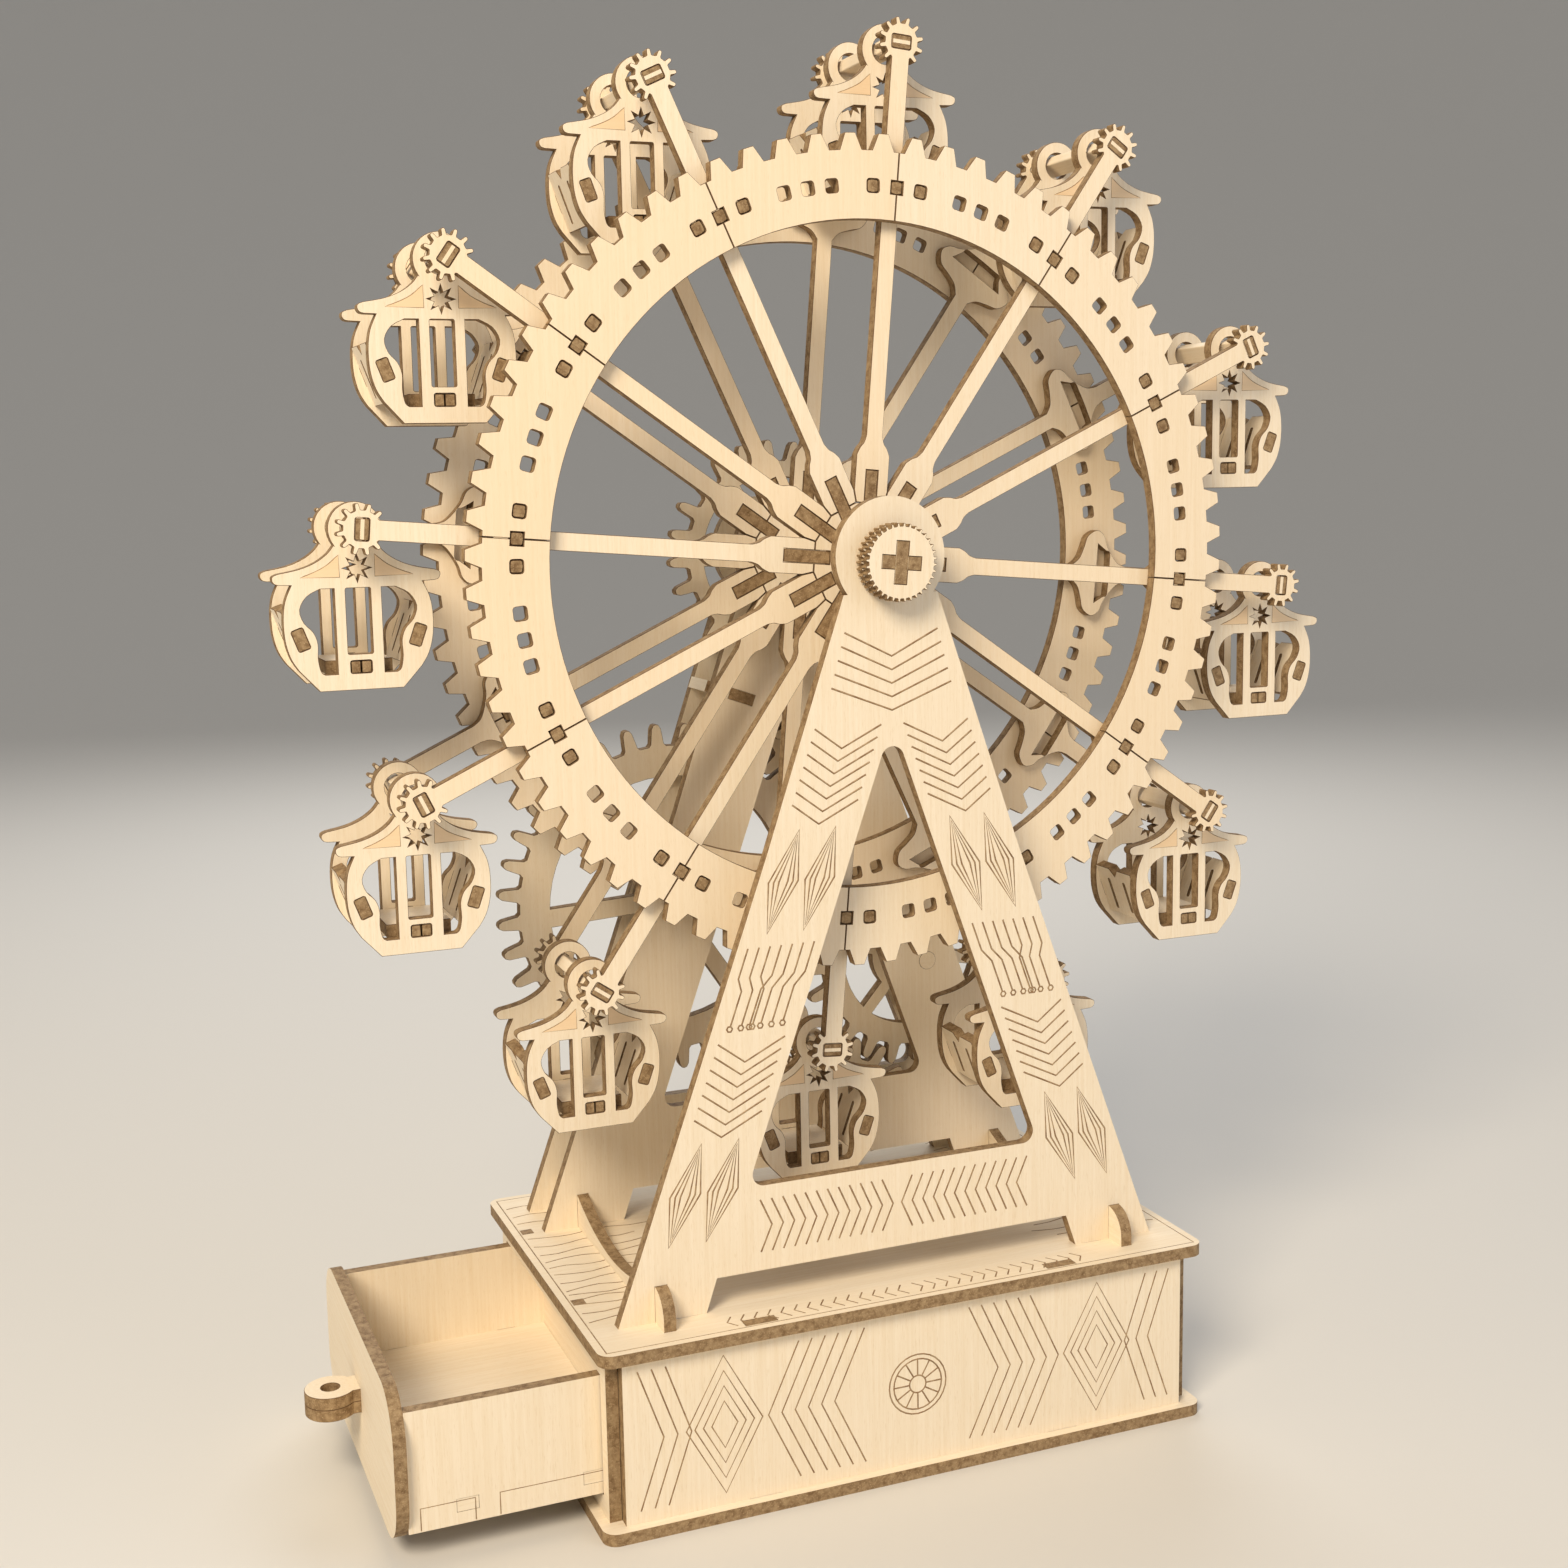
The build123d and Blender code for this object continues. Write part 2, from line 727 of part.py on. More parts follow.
wheel_to_transfer = direction_of((0, 0), transfer_place)
large_to_transfer = direction_of(large_place, transfer_place)
large_to_idler = large_direction - 180
small_turn = mesh_turn(wheel_gear_turn, wheel_gear_teeth, wheel_to_transfer, transfer_small_teeth)
big_turn = mesh_turn(large_gear_turn, large_gear_teeth, large_to_transfer, transfer_large_teeth)
idler_turn = mesh_turn(large_gear_turn, large_gear_teeth, large_to_idler, idler_teeth)
pinion_turn = mesh_turn(idler_turn, idler_teeth, pinion_direction, pinion_teeth)

small_gear = gear(wheel_layer_y, transfer_place, module_wheel, transfer_small_teeth, small_turn)
save(small_gear, "transfer_gear_small")
big_gear = gear(drive_layer_y, transfer_place, module_drive, transfer_large_teeth, big_turn)
save(big_gear, "transfer_gear_large")
save(gear(drive_layer_y, pinion_place, module_drive, pinion_teeth, pinion_turn), "crank_pinion")
save(
    gear(
        wheel_layer_y, (0, 0), module_wheel, wheel_gear_teeth, wheel_gear_turn,
        web=wheel_gear_web,
    ),
    "wheel_gear",
)
save(
    gear(
        drive_layer_y, large_place, module_drive, large_gear_teeth, large_gear_turn,
        web=large_gear_web, spoke=spoke_wide, free=True,
    ),
    "large_gear",
)
save(
    gear(
        drive_layer_y, idler_spot, module_drive, idler_teeth, idler_turn,
        web=idler_web, free=True,
    ),
    "idler_gear",
)


def strip_shaft(y, place, length):
    # A strip on edge that runs rearwards from y.
    with BuildPart() as strip:
        with BuildSketch(upright(y - ply, place[0], axle_height + place[1])):
            Rectangle(shaft_width, ply)
        extrude(amount=-length)
    return strip


frames_span = frames_back_y - inner_frame_y
save(strip_shaft(inner_frame_y, transfer_place, frames_span), "transfer_shaft")
pins = [strip_shaft(inner_frame_y, place, frames_span).part for place in pin_places]
save_group(pins, "gear_pins")

# ======================================================== crank

crank_shaft = strip_shaft(inner_frame_y, pinion_place, crank_y + ply - inner_frame_y)
save(crank_shaft, "crank_shaft")
handle_place = (pinion_place[0], pinion_place[1] - crank_length)
with BuildPart() as crank_arm:
    with BuildSketch(upright(crank_y, pinion_place[0], axle_height + pinion_place[1])):
        with Locations((0, -crank_length / 2)):
            Rectangle(2 * crank_half_width, crank_length + 2 * crank_half_width)
        chamfer(vertices(), crank_corner)
        with Locations((0, 0), (0, -crank_length)):
            strip_slot(shaft_width)
    extrude(amount=ply)
save(crank_arm, "crank_arm")

with BuildPart() as crank_handle:
    add(strip_shaft(crank_y, handle_place, ply))
    handle_y = crank_y + ply + handle_length
    with BuildSketch(upright(handle_y - ply, handle_place[0], axle_height + handle_place[1])):
        Circle(handle_radius)
    extrude(amount=handle_length)
save(crank_handle, "crank_handle")

# ======================================================== cabins

with BuildSketch() as cabin_panel:
    # Seen from the front, hung from the middle of its round boss.
    boss = [(0, boss_radius), polar(boss_radius, boss_shoulder)]
    roof = [boss_foot, roof_hollow, roof_end, roof_tip, roof_under]
    Polygon(*both_sides(boss + roof + [belly, belly_turn, cabin_floor]), align=None)
    RegularPolygon(boss_hole_radius, boss_hole_sides, mode=Mode.SUBTRACT)
    for side in (-1, 1):
        corners = [(bar_far, side_window[0][1]), *side_window, (bar_far, window_foot)]
        Polygon(*[(side * x, z) for x, z in corners], align=None, mode=Mode.SUBTRACT)
    with Locations((0, (middle_window[0] + middle_window[1]) / 2)):
        Rectangle(2 * bar_near, middle_window[0] - middle_window[1], mode=Mode.SUBTRACT)


def cabin(turn):
    # Two panels with a bench on either side and a floor between them.
    out = polar(hang_radius, turn)
    front_y = (front_arms_y + rear_arms_y + ply) / 2 - cabin_depth / 2
    hang = (out[0], axle_height + out[1])
    inside = cabin_depth - 2 * ply
    solids = []
    for y in (front_y, front_y + cabin_depth - ply):
        with BuildPart() as panel:
            with BuildSketch(upright(y, *hang)):
                add(cabin_panel.sketch)
            extrude(amount=ply)
        solids.append(panel.part)
    for place, size, lean in (
        ((-bench_place[0], bench_place[1]), bench_size, bench_lean),
        (bench_place, bench_size, -bench_lean),
        ((0, floor_middle), (floor_width, ply), 0),
    ):
        with BuildPart() as board:
            with BuildSketch(upright(front_y + cabin_depth - 2 * ply, *hang)):
                with Locations(Location((place[0], place[1], 0), (0, 0, lean))):
                    Rectangle(*size)
            extrude(amount=inside)
        solids.append(board.part)
    return solids


for number, turn in enumerate(arm_turns, start=1):
    save_group(cabin(turn), f"cabin_{number:02d}")
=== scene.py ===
import json
import math

import bmesh
import bpy
from mathutils import Matrix, Vector


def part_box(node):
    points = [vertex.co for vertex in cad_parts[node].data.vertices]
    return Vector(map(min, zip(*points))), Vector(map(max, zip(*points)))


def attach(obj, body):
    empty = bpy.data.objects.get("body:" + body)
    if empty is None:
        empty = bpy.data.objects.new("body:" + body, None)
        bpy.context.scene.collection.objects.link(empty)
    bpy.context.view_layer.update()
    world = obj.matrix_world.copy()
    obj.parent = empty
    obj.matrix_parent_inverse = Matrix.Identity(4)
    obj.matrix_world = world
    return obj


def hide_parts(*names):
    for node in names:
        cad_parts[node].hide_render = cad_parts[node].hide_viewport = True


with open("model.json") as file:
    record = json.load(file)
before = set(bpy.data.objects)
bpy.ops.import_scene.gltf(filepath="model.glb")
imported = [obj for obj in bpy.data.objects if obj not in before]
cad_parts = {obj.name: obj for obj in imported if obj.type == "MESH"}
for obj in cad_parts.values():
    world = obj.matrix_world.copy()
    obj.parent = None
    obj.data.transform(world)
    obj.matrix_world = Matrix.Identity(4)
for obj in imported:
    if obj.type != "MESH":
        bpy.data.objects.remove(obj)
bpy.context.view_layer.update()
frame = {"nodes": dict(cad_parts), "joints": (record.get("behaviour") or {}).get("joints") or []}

# Ferris wheel toy of laser-cut plywood. The dictionaries hold sizes in millimetres.
scene = bpy.context.scene
mm = 0.001
flatAbove, rimBelow = 0.95, 0.3  # a normal's share along the sheet's axis: sheet face, cut rim
places = {j["name"]: Vector(j["pos_m"]) / mm for j in frame["joints"] if "pos_m" in j}
axle = places["wheel_spin"]
armCount = sum(name.startswith("cabin_") for name in places)
armStep = 360 / armCount
firstHang = places["cabin_01_swing"]
firstTurn = math.degrees(math.atan2(firstHang.z - axle.z, firstHang.x - axle.x))
hangRadius = math.hypot(firstHang.z - axle.z, firstHang.x - axle.x)
sheetFront = {node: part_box(node)[0].y / mm for node in frame["nodes"]}
ply = (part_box("front_ring")[1].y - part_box("front_ring")[0].y) / mm
print("frame loaded:", armCount, "arms,", round(ply, 2), "mm sheet")

# Small helpers


def tone(hexText):
    # sRGB hex to the linear colour that shaders take
    parts = [int(hexText[i:i + 2], 16) / 255 for i in (1, 3, 5)]
    return tuple(p / 12.92 if p <= 0.04045 else ((p + 0.055) / 1.055) ** 2.4 for p in parts) + (1.0,)


def put(tree, kind, inputs=None, **settings):
    # adds one node, with its settings, values and links
    node = tree.nodes.new(kind)
    for key, value in settings.items():
        setattr(node, key, value)
    for key, value in (inputs or {}).items():
        if isinstance(value, bpy.types.NodeSocket):
            tree.links.new(value, node.inputs[key])
        else:
            node.inputs[key].default_value = value
    return node


def polar(radius, turn):
    return (radius * math.cos(math.radians(turn)), radius * math.sin(math.radians(turn)))


def arc(radius, start, end, steps, centre=(0, 0)):
    turns = [start + (end - start) * k / steps for k in range(steps + 1)]
    return [(centre[0] + polar(radius, t)[0], centre[1] + polar(radius, t)[1]) for t in turns]


def bar(length, width, centre=(0, 0), turn=0.0, corner=0.0):
    # rectangle with rounded corners, turned about its middle
    a, b = length / 2 - corner, width / 2 - corner
    loop = []
    for k, (sx, sy) in enumerate(((1, 1), (-1, 1), (-1, -1), (1, -1))):
        loop += arc(corner, 90 * k, 90 * k + 90, 3, (sx * a, sy * b)) if corner else [(sx * a, sy * b)]
    c, s = polar(1, turn)
    return [(centre[0] + x * c - y * s, centre[1] + x * s + y * c) for x, y in loop]


def smooth(points, steps=5):
    # Catmull-Rom curve through the points, ends included
    pts = [points[0], *points, points[-1]]
    line = []
    for a, b, c, d in zip(pts, pts[1:], pts[2:], pts[3:]):
        for k in range(steps):
            t = k / steps
            line.append(tuple(
                0.5 * (2 * q + (r - p) * t + (2 * p - 5 * q + 4 * r - s) * t * t
                       + (3 * q - p - 3 * r + s) * t ** 3)
                for p, q, r, s in zip(a, b, c, d)))
    return line + [points[-1]]


def mirrored(half):
    return half + [(-x, y) for x, y in reversed(half) if abs(x) > 1e-6]


def counterClockwise(loop, wanted=True):
    area = sum(a[0] * b[1] - b[0] * a[1] for a, b in zip(loop, loop[1:] + loop[:1]))
    return loop if (area > 0) == wanted else loop[::-1]


def cutSheet(loops, thickness=ply, edgeBreak=0.12):
    # flat piece from an outline and its holes: face, laser-cut rim, and the scorch line between them
    curve = bpy.data.curves.new("outline", "CURVE")
    curve.dimensions = "2D"
    curve.fill_mode = "BOTH"
    curve.extrude = (thickness / 2 - edgeBreak) * mm
    curve.bevel_depth = edgeBreak * mm
    curve.bevel_resolution = 0
    curve.offset = -edgeBreak * mm
    for index, loop in enumerate(loops):
        loop = counterClockwise(loop, index == 0)
        spline = curve.splines.new("POLY")
        spline.points.add(len(loop) - 1)
        for point, (x, y) in zip(spline.points, loop):
            point.co = (x * mm, y * mm, 0, 1)
        spline.use_cyclic_u = True
    holder = bpy.data.objects.new("outline", curve)
    scene.collection.objects.link(holder)
    graph = bpy.context.evaluated_depsgraph_get()
    mesh = bpy.data.meshes.new_from_object(holder.evaluated_get(graph))
    bpy.data.objects.remove(holder)
    bpy.data.curves.remove(curve)
    work = bmesh.new()
    work.from_mesh(mesh)
    bmesh.ops.remove_doubles(work, verts=work.verts, dist=1e-6)
    bmesh.ops.recalc_face_normals(work, faces=work.faces)
    for face in work.faces:
        steep = abs(face.normal.z)
        face.material_index = 0 if steep > flatAbove else 1 if steep < rimBelow else 2
        face.smooth = False
    work.to_mesh(mesh)
    work.free()
    return mesh


def upright(x, frontY, z, turn=0.0, thickness=ply):
    # stands a sheet up so that its face looks to the front
    return (Matrix.Translation(Vector((x, frontY + thickness / 2, z)) * mm)
            @ Matrix.Rotation(math.radians(90), 4, "X") @ Matrix.Rotation(math.radians(turn), 4, "Z"))


def gather(name, parts, materials):
    # one object from several (mesh, matrix) pairs
    whole = bmesh.new()
    for mesh, matrix in parts:
        copy = mesh.copy()
        copy.transform(matrix)
        whole.from_mesh(copy)
        bpy.data.meshes.remove(copy)
    mesh = bpy.data.meshes.new(name)
    whole.to_mesh(mesh)
    whole.free()
    for material in materials:
        mesh.materials.append(material)
    piece = bpy.data.objects.new(name, mesh)
    scene.collection.objects.link(piece)
    return piece


def settle(piece, body, nodes=()):
    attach(piece, body)
    if nodes:
        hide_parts(*nodes)
    return piece


# Wood

woodLook = {
    "face": "#F0E3CD", "faceDeep": "#E4D1B1", "fleck": "#D2B98F", "warm": "#E8C99A",
    "edge": "#A38A68", "edgeDark": "#73593C", "edgeLight": "#C9B08A", "line": "#8A6A48", "scorch": "#5E4329",
    "peach": "#EFCB9C",
    "grainWidth": 0.8, "grainLength": 26.0, "fleckWidth": 0.22, "fleckLength": 2.4,
    "charPatch": 1.6, "charFine": 0.35,
}


def stretched(tree, along, width, length, detail):
    # noise drawn out along one axis, with its scale from sizes in millimetres
    coords = put(tree, "ShaderNodeTexCoord").outputs["Object"]
    scale = [1 / ((length if axis == along else width) * mm) for axis in "XYZ"]
    mapped = put(tree, "ShaderNodeMapping", {"Vector": coords, "Scale": scale}).outputs["Vector"]
    return put(tree, "ShaderNodeTexNoise", {"Vector": mapped, "Scale": 1.0, "Detail": detail,
                                             "Roughness": 0.6}).outputs["Fac"]


def blendOf(tree, factor, first, second):
    node = put(tree, "ShaderNodeMix", {"Factor": factor}, data_type="RGBA")
    for socket, value in ((node.inputs[6], first), (node.inputs[7], second)):
        if isinstance(value, bpy.types.NodeSocket):
            tree.links.new(value, socket)
        else:
            socket.default_value = tone(value)
    return node.outputs[2]


def share(tree, value, low, high, top):
    return put(tree, "ShaderNodeMapRange", {
        "Value": value, "From Min": low, "From Max": high, "To Min": 0.0, "To Max": top}).outputs["Result"]


def faceTone(tree, along):
    grain = stretched(tree, along, woodLook["grainWidth"], woodLook["grainLength"], 4.0)
    fleck = stretched(tree, along, woodLook["fleckWidth"], woodLook["fleckLength"], 1.0)
    tint = put(tree, "ShaderNodeAttribute", attribute_name="tint").outputs["Fac"]
    colour = blendOf(tree, share(tree, grain, 0.35, 0.75, 0.6), woodLook["face"], woodLook["faceDeep"])
    colour = blendOf(tree, share(tree, fleck, 0.60, 0.72, 0.25), colour, woodLook["fleck"])
    return blendOf(tree, share(tree, tint, 0.0, 1.0, 0.30), colour, woodLook["warm"]), grain


def edgeTone(tree):
    patch = stretched(tree, "none", woodLook["charPatch"], 1, 3.0)
    fine = stretched(tree, "none", woodLook["charFine"], 1, 2.0)
    colour = blendOf(tree, share(tree, patch, 0.35, 0.70, 1.0), woodLook["edge"], woodLook["edgeDark"])
    return blendOf(tree, share(tree, fine, 0.55, 0.72, 0.5), colour, woodLook["edgeLight"])


def plywood(name, along="Z", faceAxis=None, edgesOnly=False, endsBrown=False, tinted=False):
    # Basswood plywood: pale, matt, fine straight grain; where the laser cut it, scorched brown.
    material = bpy.data.materials.new(name)
    material.use_nodes = True
    tree = material.node_tree
    shader = tree.nodes["Principled BSDF"]
    shader.inputs["IOR"].default_value = 1.45
    shader.inputs["Specular IOR Level"].default_value = 0.25
    shader.inputs["Roughness"].default_value = 0.8 if edgesOnly else 0.62
    if edgesOnly:
        colour = edgeTone(tree)
    else:
        colour, grain = faceTone(tree, along)
        bump = put(tree, "ShaderNodeBump", {"Strength": 0.12, "Distance": 0.0001, "Height": grain})
        tree.links.new(bump.outputs["Normal"], shader.inputs["Normal"])
    if tinted:
        colour = blendOf(tree, 0.6, colour, woodLook["peach"])
    if faceAxis:
        normal = put(tree, "ShaderNodeTexCoord").outputs["Normal"]
        facing = put(tree, "ShaderNodeVectorMath", {0: normal, 1: faceAxis},
                     operation="DOT_PRODUCT").outputs["Value"]
        steep = put(tree, "ShaderNodeMath", {0: facing}, operation="ABSOLUTE").outputs[0]
        cut = put(tree, "ShaderNodeMath", {0: steep, 1: 0.8},
                  operation="GREATER_THAN" if endsBrown else "LESS_THAN").outputs[0]
        colour = blendOf(tree, cut, colour, edgeTone(tree))
    tree.links.new(colour, shader.inputs["Base Color"])
    return material


sheetFace = plywood("basswoodPlyFace", "Z")
scorchedEdge = plywood("laserScorchedEdge", edgesOnly=True)
acrossX = plywood("basswoodPlyFacingX", "Y", faceAxis=(1, 0, 0))
acrossY = plywood("basswoodPlyFacingY", "Z", faceAxis=(0, 1, 0))
acrossZ = plywood("basswoodPlyFacingZ", "X", faceAxis=(0, 0, 1))
stripEnds = plywood("basswoodStripOnEdge", "Y", faceAxis=(0, 1, 0), endsBrown=True)
paleBoard = plywood("basswoodPlyPaleEdge", "X")
stripSide = plywood("basswoodStripSide", "Y")
dowelWood = plywood("turnedBirchDowel", "Y")


def lineLook(name, main, patches):
    # Scorched wood where the laser drew or cut: brown, matt.
    material = bpy.data.materials.new(name)
    material.use_nodes = True
    tree = material.node_tree
    shader = tree.nodes["Principled BSDF"]
    shader.inputs["Roughness"].default_value = 0.85
    patch = stretched(tree, "none", 2.5, 1, 2.0)
    colour = blendOf(tree, share(tree, patch, 0.35, 0.7, 0.6), woodLook[main], woodLook[patches])
    tree.links.new(colour, shader.inputs["Base Color"])
    return material


engravedLine = lineLook("laserEngravedLine", "line", "edgeLight")
scorchLine = lineLook("laserScorchLine", "scorch", "edgeDark")
sheetLook = [sheetFace, scorchedEdge, scorchLine]

cadLooks = {
    acrossX: ["base_left_wall", "base_right_wall", "inner_wall", "drawer_front", "drawer_back",
              "long_braces"],
    acrossY: ["base_front_panel", "base_back_panel", "drawer_sides", "front_frame", "rear_frame_inner",
              "rear_frame_outer", "drawer_runners", "axle_sleeves", "crank_arm"],
    acrossZ: ["base_bottom", "base_top"],
    paleBoard: ["drawer_floor"],
    stripEnds: ["wheel_axle", "cabin_axles", "frame_tie", "gear_pins", "transfer_shaft", "crank_shaft"],
    dowelWood: ["crank_handle"],
}
for look, nodes in cadLooks.items():
    for node in nodes:
        frame["nodes"][node].data.materials.clear()
        frame["nodes"][node].data.materials.append(look)
print("wood finished")

# Repeats round the axle


def aroundTree():
    # turns copies of an upright piece about the wheel's axis, each with its own warmth
    tree = bpy.data.node_groups.new("repeatRoundAxle", "GeometryNodeTree")
    for label, kind in (("Piece", "NodeSocketGeometry"), ("Count", "NodeSocketInt"),
                        ("First Turn", "NodeSocketFloat"), ("Axle", "NodeSocketVector"),
                        ("Warmth Seed", "NodeSocketInt"),
                        ("Face", "NodeSocketMaterial"), ("Rim", "NodeSocketMaterial"),
                        ("Line", "NodeSocketMaterial")):
        tree.interface.new_socket(label, in_out="INPUT", socket_type=kind)
    tree.interface.new_socket("Result", in_out="OUTPUT", socket_type="NodeSocketGeometry")
    given = put(tree, "NodeGroupInput").outputs
    index = put(tree, "GeometryNodeInputIndex").outputs[0]
    step = put(tree, "ShaderNodeMath", {0: -2 * math.pi, 1: given["Count"]}, operation="DIVIDE").outputs[0]
    turned = put(tree, "ShaderNodeMath", {0: index, 1: step}, operation="MULTIPLY").outputs[0]
    first = put(tree, "ShaderNodeMath", {0: given["First Turn"], 1: -math.pi / 180},
                operation="MULTIPLY").outputs[0]
    turn = put(tree, "ShaderNodeMath", {0: turned, 1: first}, operation="ADD").outputs[0]
    lean = put(tree, "ShaderNodeCombineXYZ", {"Y": turn}).outputs[0]
    spots = put(tree, "GeometryNodePoints", {"Count": given["Count"], "Position": given["Axle"]}).outputs[0]
    copies = put(tree, "GeometryNodeInstanceOnPoints",
                 {"Points": spots, "Instance": given["Piece"], "Rotation": lean}).outputs[0]
    warmth = put(tree, "FunctionNodeRandomValue", {"ID": index, "Seed": given["Warmth Seed"]},
                 data_type="FLOAT")
    value = next(s for s in warmth.outputs if s.enabled and s.type == "VALUE")
    marked = put(tree, "GeometryNodeStoreNamedAttribute",
                 {"Geometry": copies, "Name": "tint", "Value": value},
                 domain="INSTANCE", data_type="FLOAT").outputs[0]
    real = put(tree, "GeometryNodeRealizeInstances", {"Geometry": marked}).outputs[0]
    normal = put(tree, "GeometryNodeInputNormal").outputs[0]
    facing = put(tree, "ShaderNodeSeparateXYZ", {0: normal}).outputs[1]
    steep = put(tree, "ShaderNodeMath", {0: facing}, operation="ABSOLUTE").outputs[0]
    flat = put(tree, "FunctionNodeCompare", {0: steep, 1: flatAbove}, data_type="FLOAT",
               operation="GREATER_THAN").outputs[0]
    side = put(tree, "FunctionNodeCompare", {0: steep, 1: rimBelow}, data_type="FLOAT",
               operation="LESS_THAN").outputs[0]
    lines = put(tree, "GeometryNodeSetMaterial", {"Geometry": real, "Material": given["Line"]}).outputs[0]
    rims = put(tree, "GeometryNodeSetMaterial",
               {"Geometry": lines, "Selection": side, "Material": given["Rim"]}).outputs[0]
    done = put(tree, "GeometryNodeSetMaterial",
               {"Geometry": rims, "Selection": flat, "Material": given["Face"]}).outputs[0]
    put(tree, "NodeGroupOutput", {"Result": done})
    return tree


roundAxle = aroundTree()
socketIds = {item.name: item.identifier for item in roundAxle.interface.items_tree if item.in_out == "INPUT"}


def repeatRound(name, mesh, first, seed=0, face=sheetFace, rim=scorchedEdge, count=armCount):
    piece = bpy.data.objects.new(name, mesh)
    scene.collection.objects.link(piece)
    modifier = piece.modifiers.new("round", "NODES")
    modifier.node_group = roundAxle
    for label, value in (("Count", count), ("First Turn", first), ("Axle", (0.0, 0.0, axle.z * mm)),
                         ("Warmth Seed", seed), ("Face", face), ("Rim", rim), ("Line", scorchLine)):
        modifier[socketIds[label]] = value
    graph = bpy.context.evaluated_depsgraph_get()
    piece.data = bpy.data.meshes.new_from_object(
        piece.evaluated_get(graph), preserve_all_data_layers=True, depsgraph=graph)
    piece.modifiers.clear()
    return piece


def bothSides(mesh):
    # the flat piece and its mirror image
    work = bmesh.new()
    work.from_mesh(mesh)
    other = bmesh.ops.duplicate(work, geom=work.verts[:] + work.edges[:] + work.faces[:])["geom"]
    for item in other:
        if isinstance(item, bmesh.types.BMVert):
            item.co.x = -item.co.x
    bmesh.ops.reverse_faces(work, faces=[f for f in other if isinstance(f, bmesh.types.BMFace)])
    work.to_mesh(mesh)
    work.free()
    return mesh


def standing(mesh, frontY, thickness=ply):
    mesh = mesh.copy()
    mesh.transform(upright(0, frontY, 0, thickness=thickness))
    return mesh


# Rings

ring = {
    "tip": 98.4, "root": 94.6, "inner": 79.0, "teeth": 6, "toothTop": 2.6, "toothGap": 2.7, "seam": 0.2,
    "windowRadius": 86.6, "window": 3.2, "windowCorner": 0.7, "openWindows": (11.0, 15.0, 19.0),
    "plugAngle": 4.05, "plugRoom": 0.22, "plugDepth": 0.25, "plugCore": 0.9,
}


def ringSegment():
    size, step = ring, armStep / ring["teeth"]
    topHalf = math.degrees(size["toothTop"] / 2 / size["tip"])
    footHalf = step / 2 - math.degrees(size["toothGap"] / 2 / size["root"])
    lag, half = size["seam"] / 2, size["window"] / 2
    side = [(size["inner"], lag), (size["windowRadius"] - half, lag), (size["windowRadius"] - half, half),
            (size["windowRadius"] + half, half), (size["windowRadius"] + half, lag), (size["root"], lag)]
    loop = list(side)
    for n in range(size["teeth"]):
        middle = step * (n + 0.5)
        loop += [polar(size["root"], middle - footHalf), polar(size["tip"], middle - topHalf),
                 polar(size["tip"], middle + topHalf), polar(size["root"], middle + footHalf)]
    c, s = polar(1, armStep)
    loop += [(x * c + y * s, x * s - y * c) for x, y in reversed(side)]
    lagTurn = math.degrees(lag / size["inner"])
    loop += arc(size["inner"], armStep - lagTurn, lagTurn, 12)[1:-1]
    side, corner = size["window"], size["windowCorner"]
    holes = [bar(side, side, polar(size["windowRadius"], turn), turn, corner)
             for turn in (size["plugAngle"], *size["openWindows"], armStep - size["plugAngle"])]
    return cutSheet([loop, *holes])


def ringPlugs():
    side = ring["window"] - 2 * ring["plugRoom"]
    depth = ply - 2 * ring["plugDepth"]
    parts = []
    for turn in (-ring["plugAngle"], 0.0, ring["plugAngle"]):
        spot = polar(ring["windowRadius"], turn)
        plug = cutSheet([bar(side, side, spot, turn, 0.5)], depth)
        core = cutSheet([bar(side, ring["plugCore"], spot, turn, 0.1)], depth + 0.1, 0.02)
        parts += [(plug, Matrix.Identity(4)), (core, Matrix.Identity(4))]
    whole = gather("plugs", parts, sheetLook)
    mesh = whole.data
    bpy.data.objects.remove(whole)
    return mesh


segment, plugs = ringSegment(), ringPlugs()
for seed, node in enumerate(("front_ring", "rear_ring")):
    y = sheetFront[node]
    label = "frontRing" if seed == 0 else "rearRing"
    settle(repeatRound(label, standing(segment, y), firstTurn, seed), "wheel", nodes=[node])
    settle(repeatRound(label + "Plugs", standing(plugs, y), firstTurn, seed, face=scorchedEdge), "wheel")
print("rings cut")

# Arms and hub

arm = {
    "flat": 13.5, "rootHalf": 4.3, "rootEnd": 24.8, "spokeStart": 29.5, "spokeHalf": 2.1, "stripHalf": 2.25,
    "head": [(79.6, 2.1), (81.6, 3.9), (82.8, 7.0), (83.8, 10.0), (86.6, 11.7), (88.9, 10.4), (90.0, 7.8),
             (91.6, 5.4), (93.9, 3.0), (96.4, 2.25)],
    "shoulder": [(26.6, 3.5), (27.8, 2.6)],
    "smileInner": 87.2, "smileOuter": 91.2, "smileHalf": 8.0, "smileCorner": (89.8, 6.3), "smileSweep": 5.0,
    "starTip": 5.7, "starRoot": 4.2, "starTeeth": 12, "starMissing": 2,
    "holeLength": 4.8, "keyInner": 9.5, "keyOuter": 21.3, "play": 0.12, "proud": 0.05,
}
# one tooth with a round end: share of the pitch from its middle, share of its height
fingerTooth = [(-0.30, 0.0), (-0.235, 0.10), (-0.20, 0.45), (-0.165, 0.78), (-0.10, 0.96), (0.0, 1.0),
               (0.10, 0.96), (0.165, 0.78), (0.20, 0.45), (0.235, 0.10), (0.30, 0.0)]


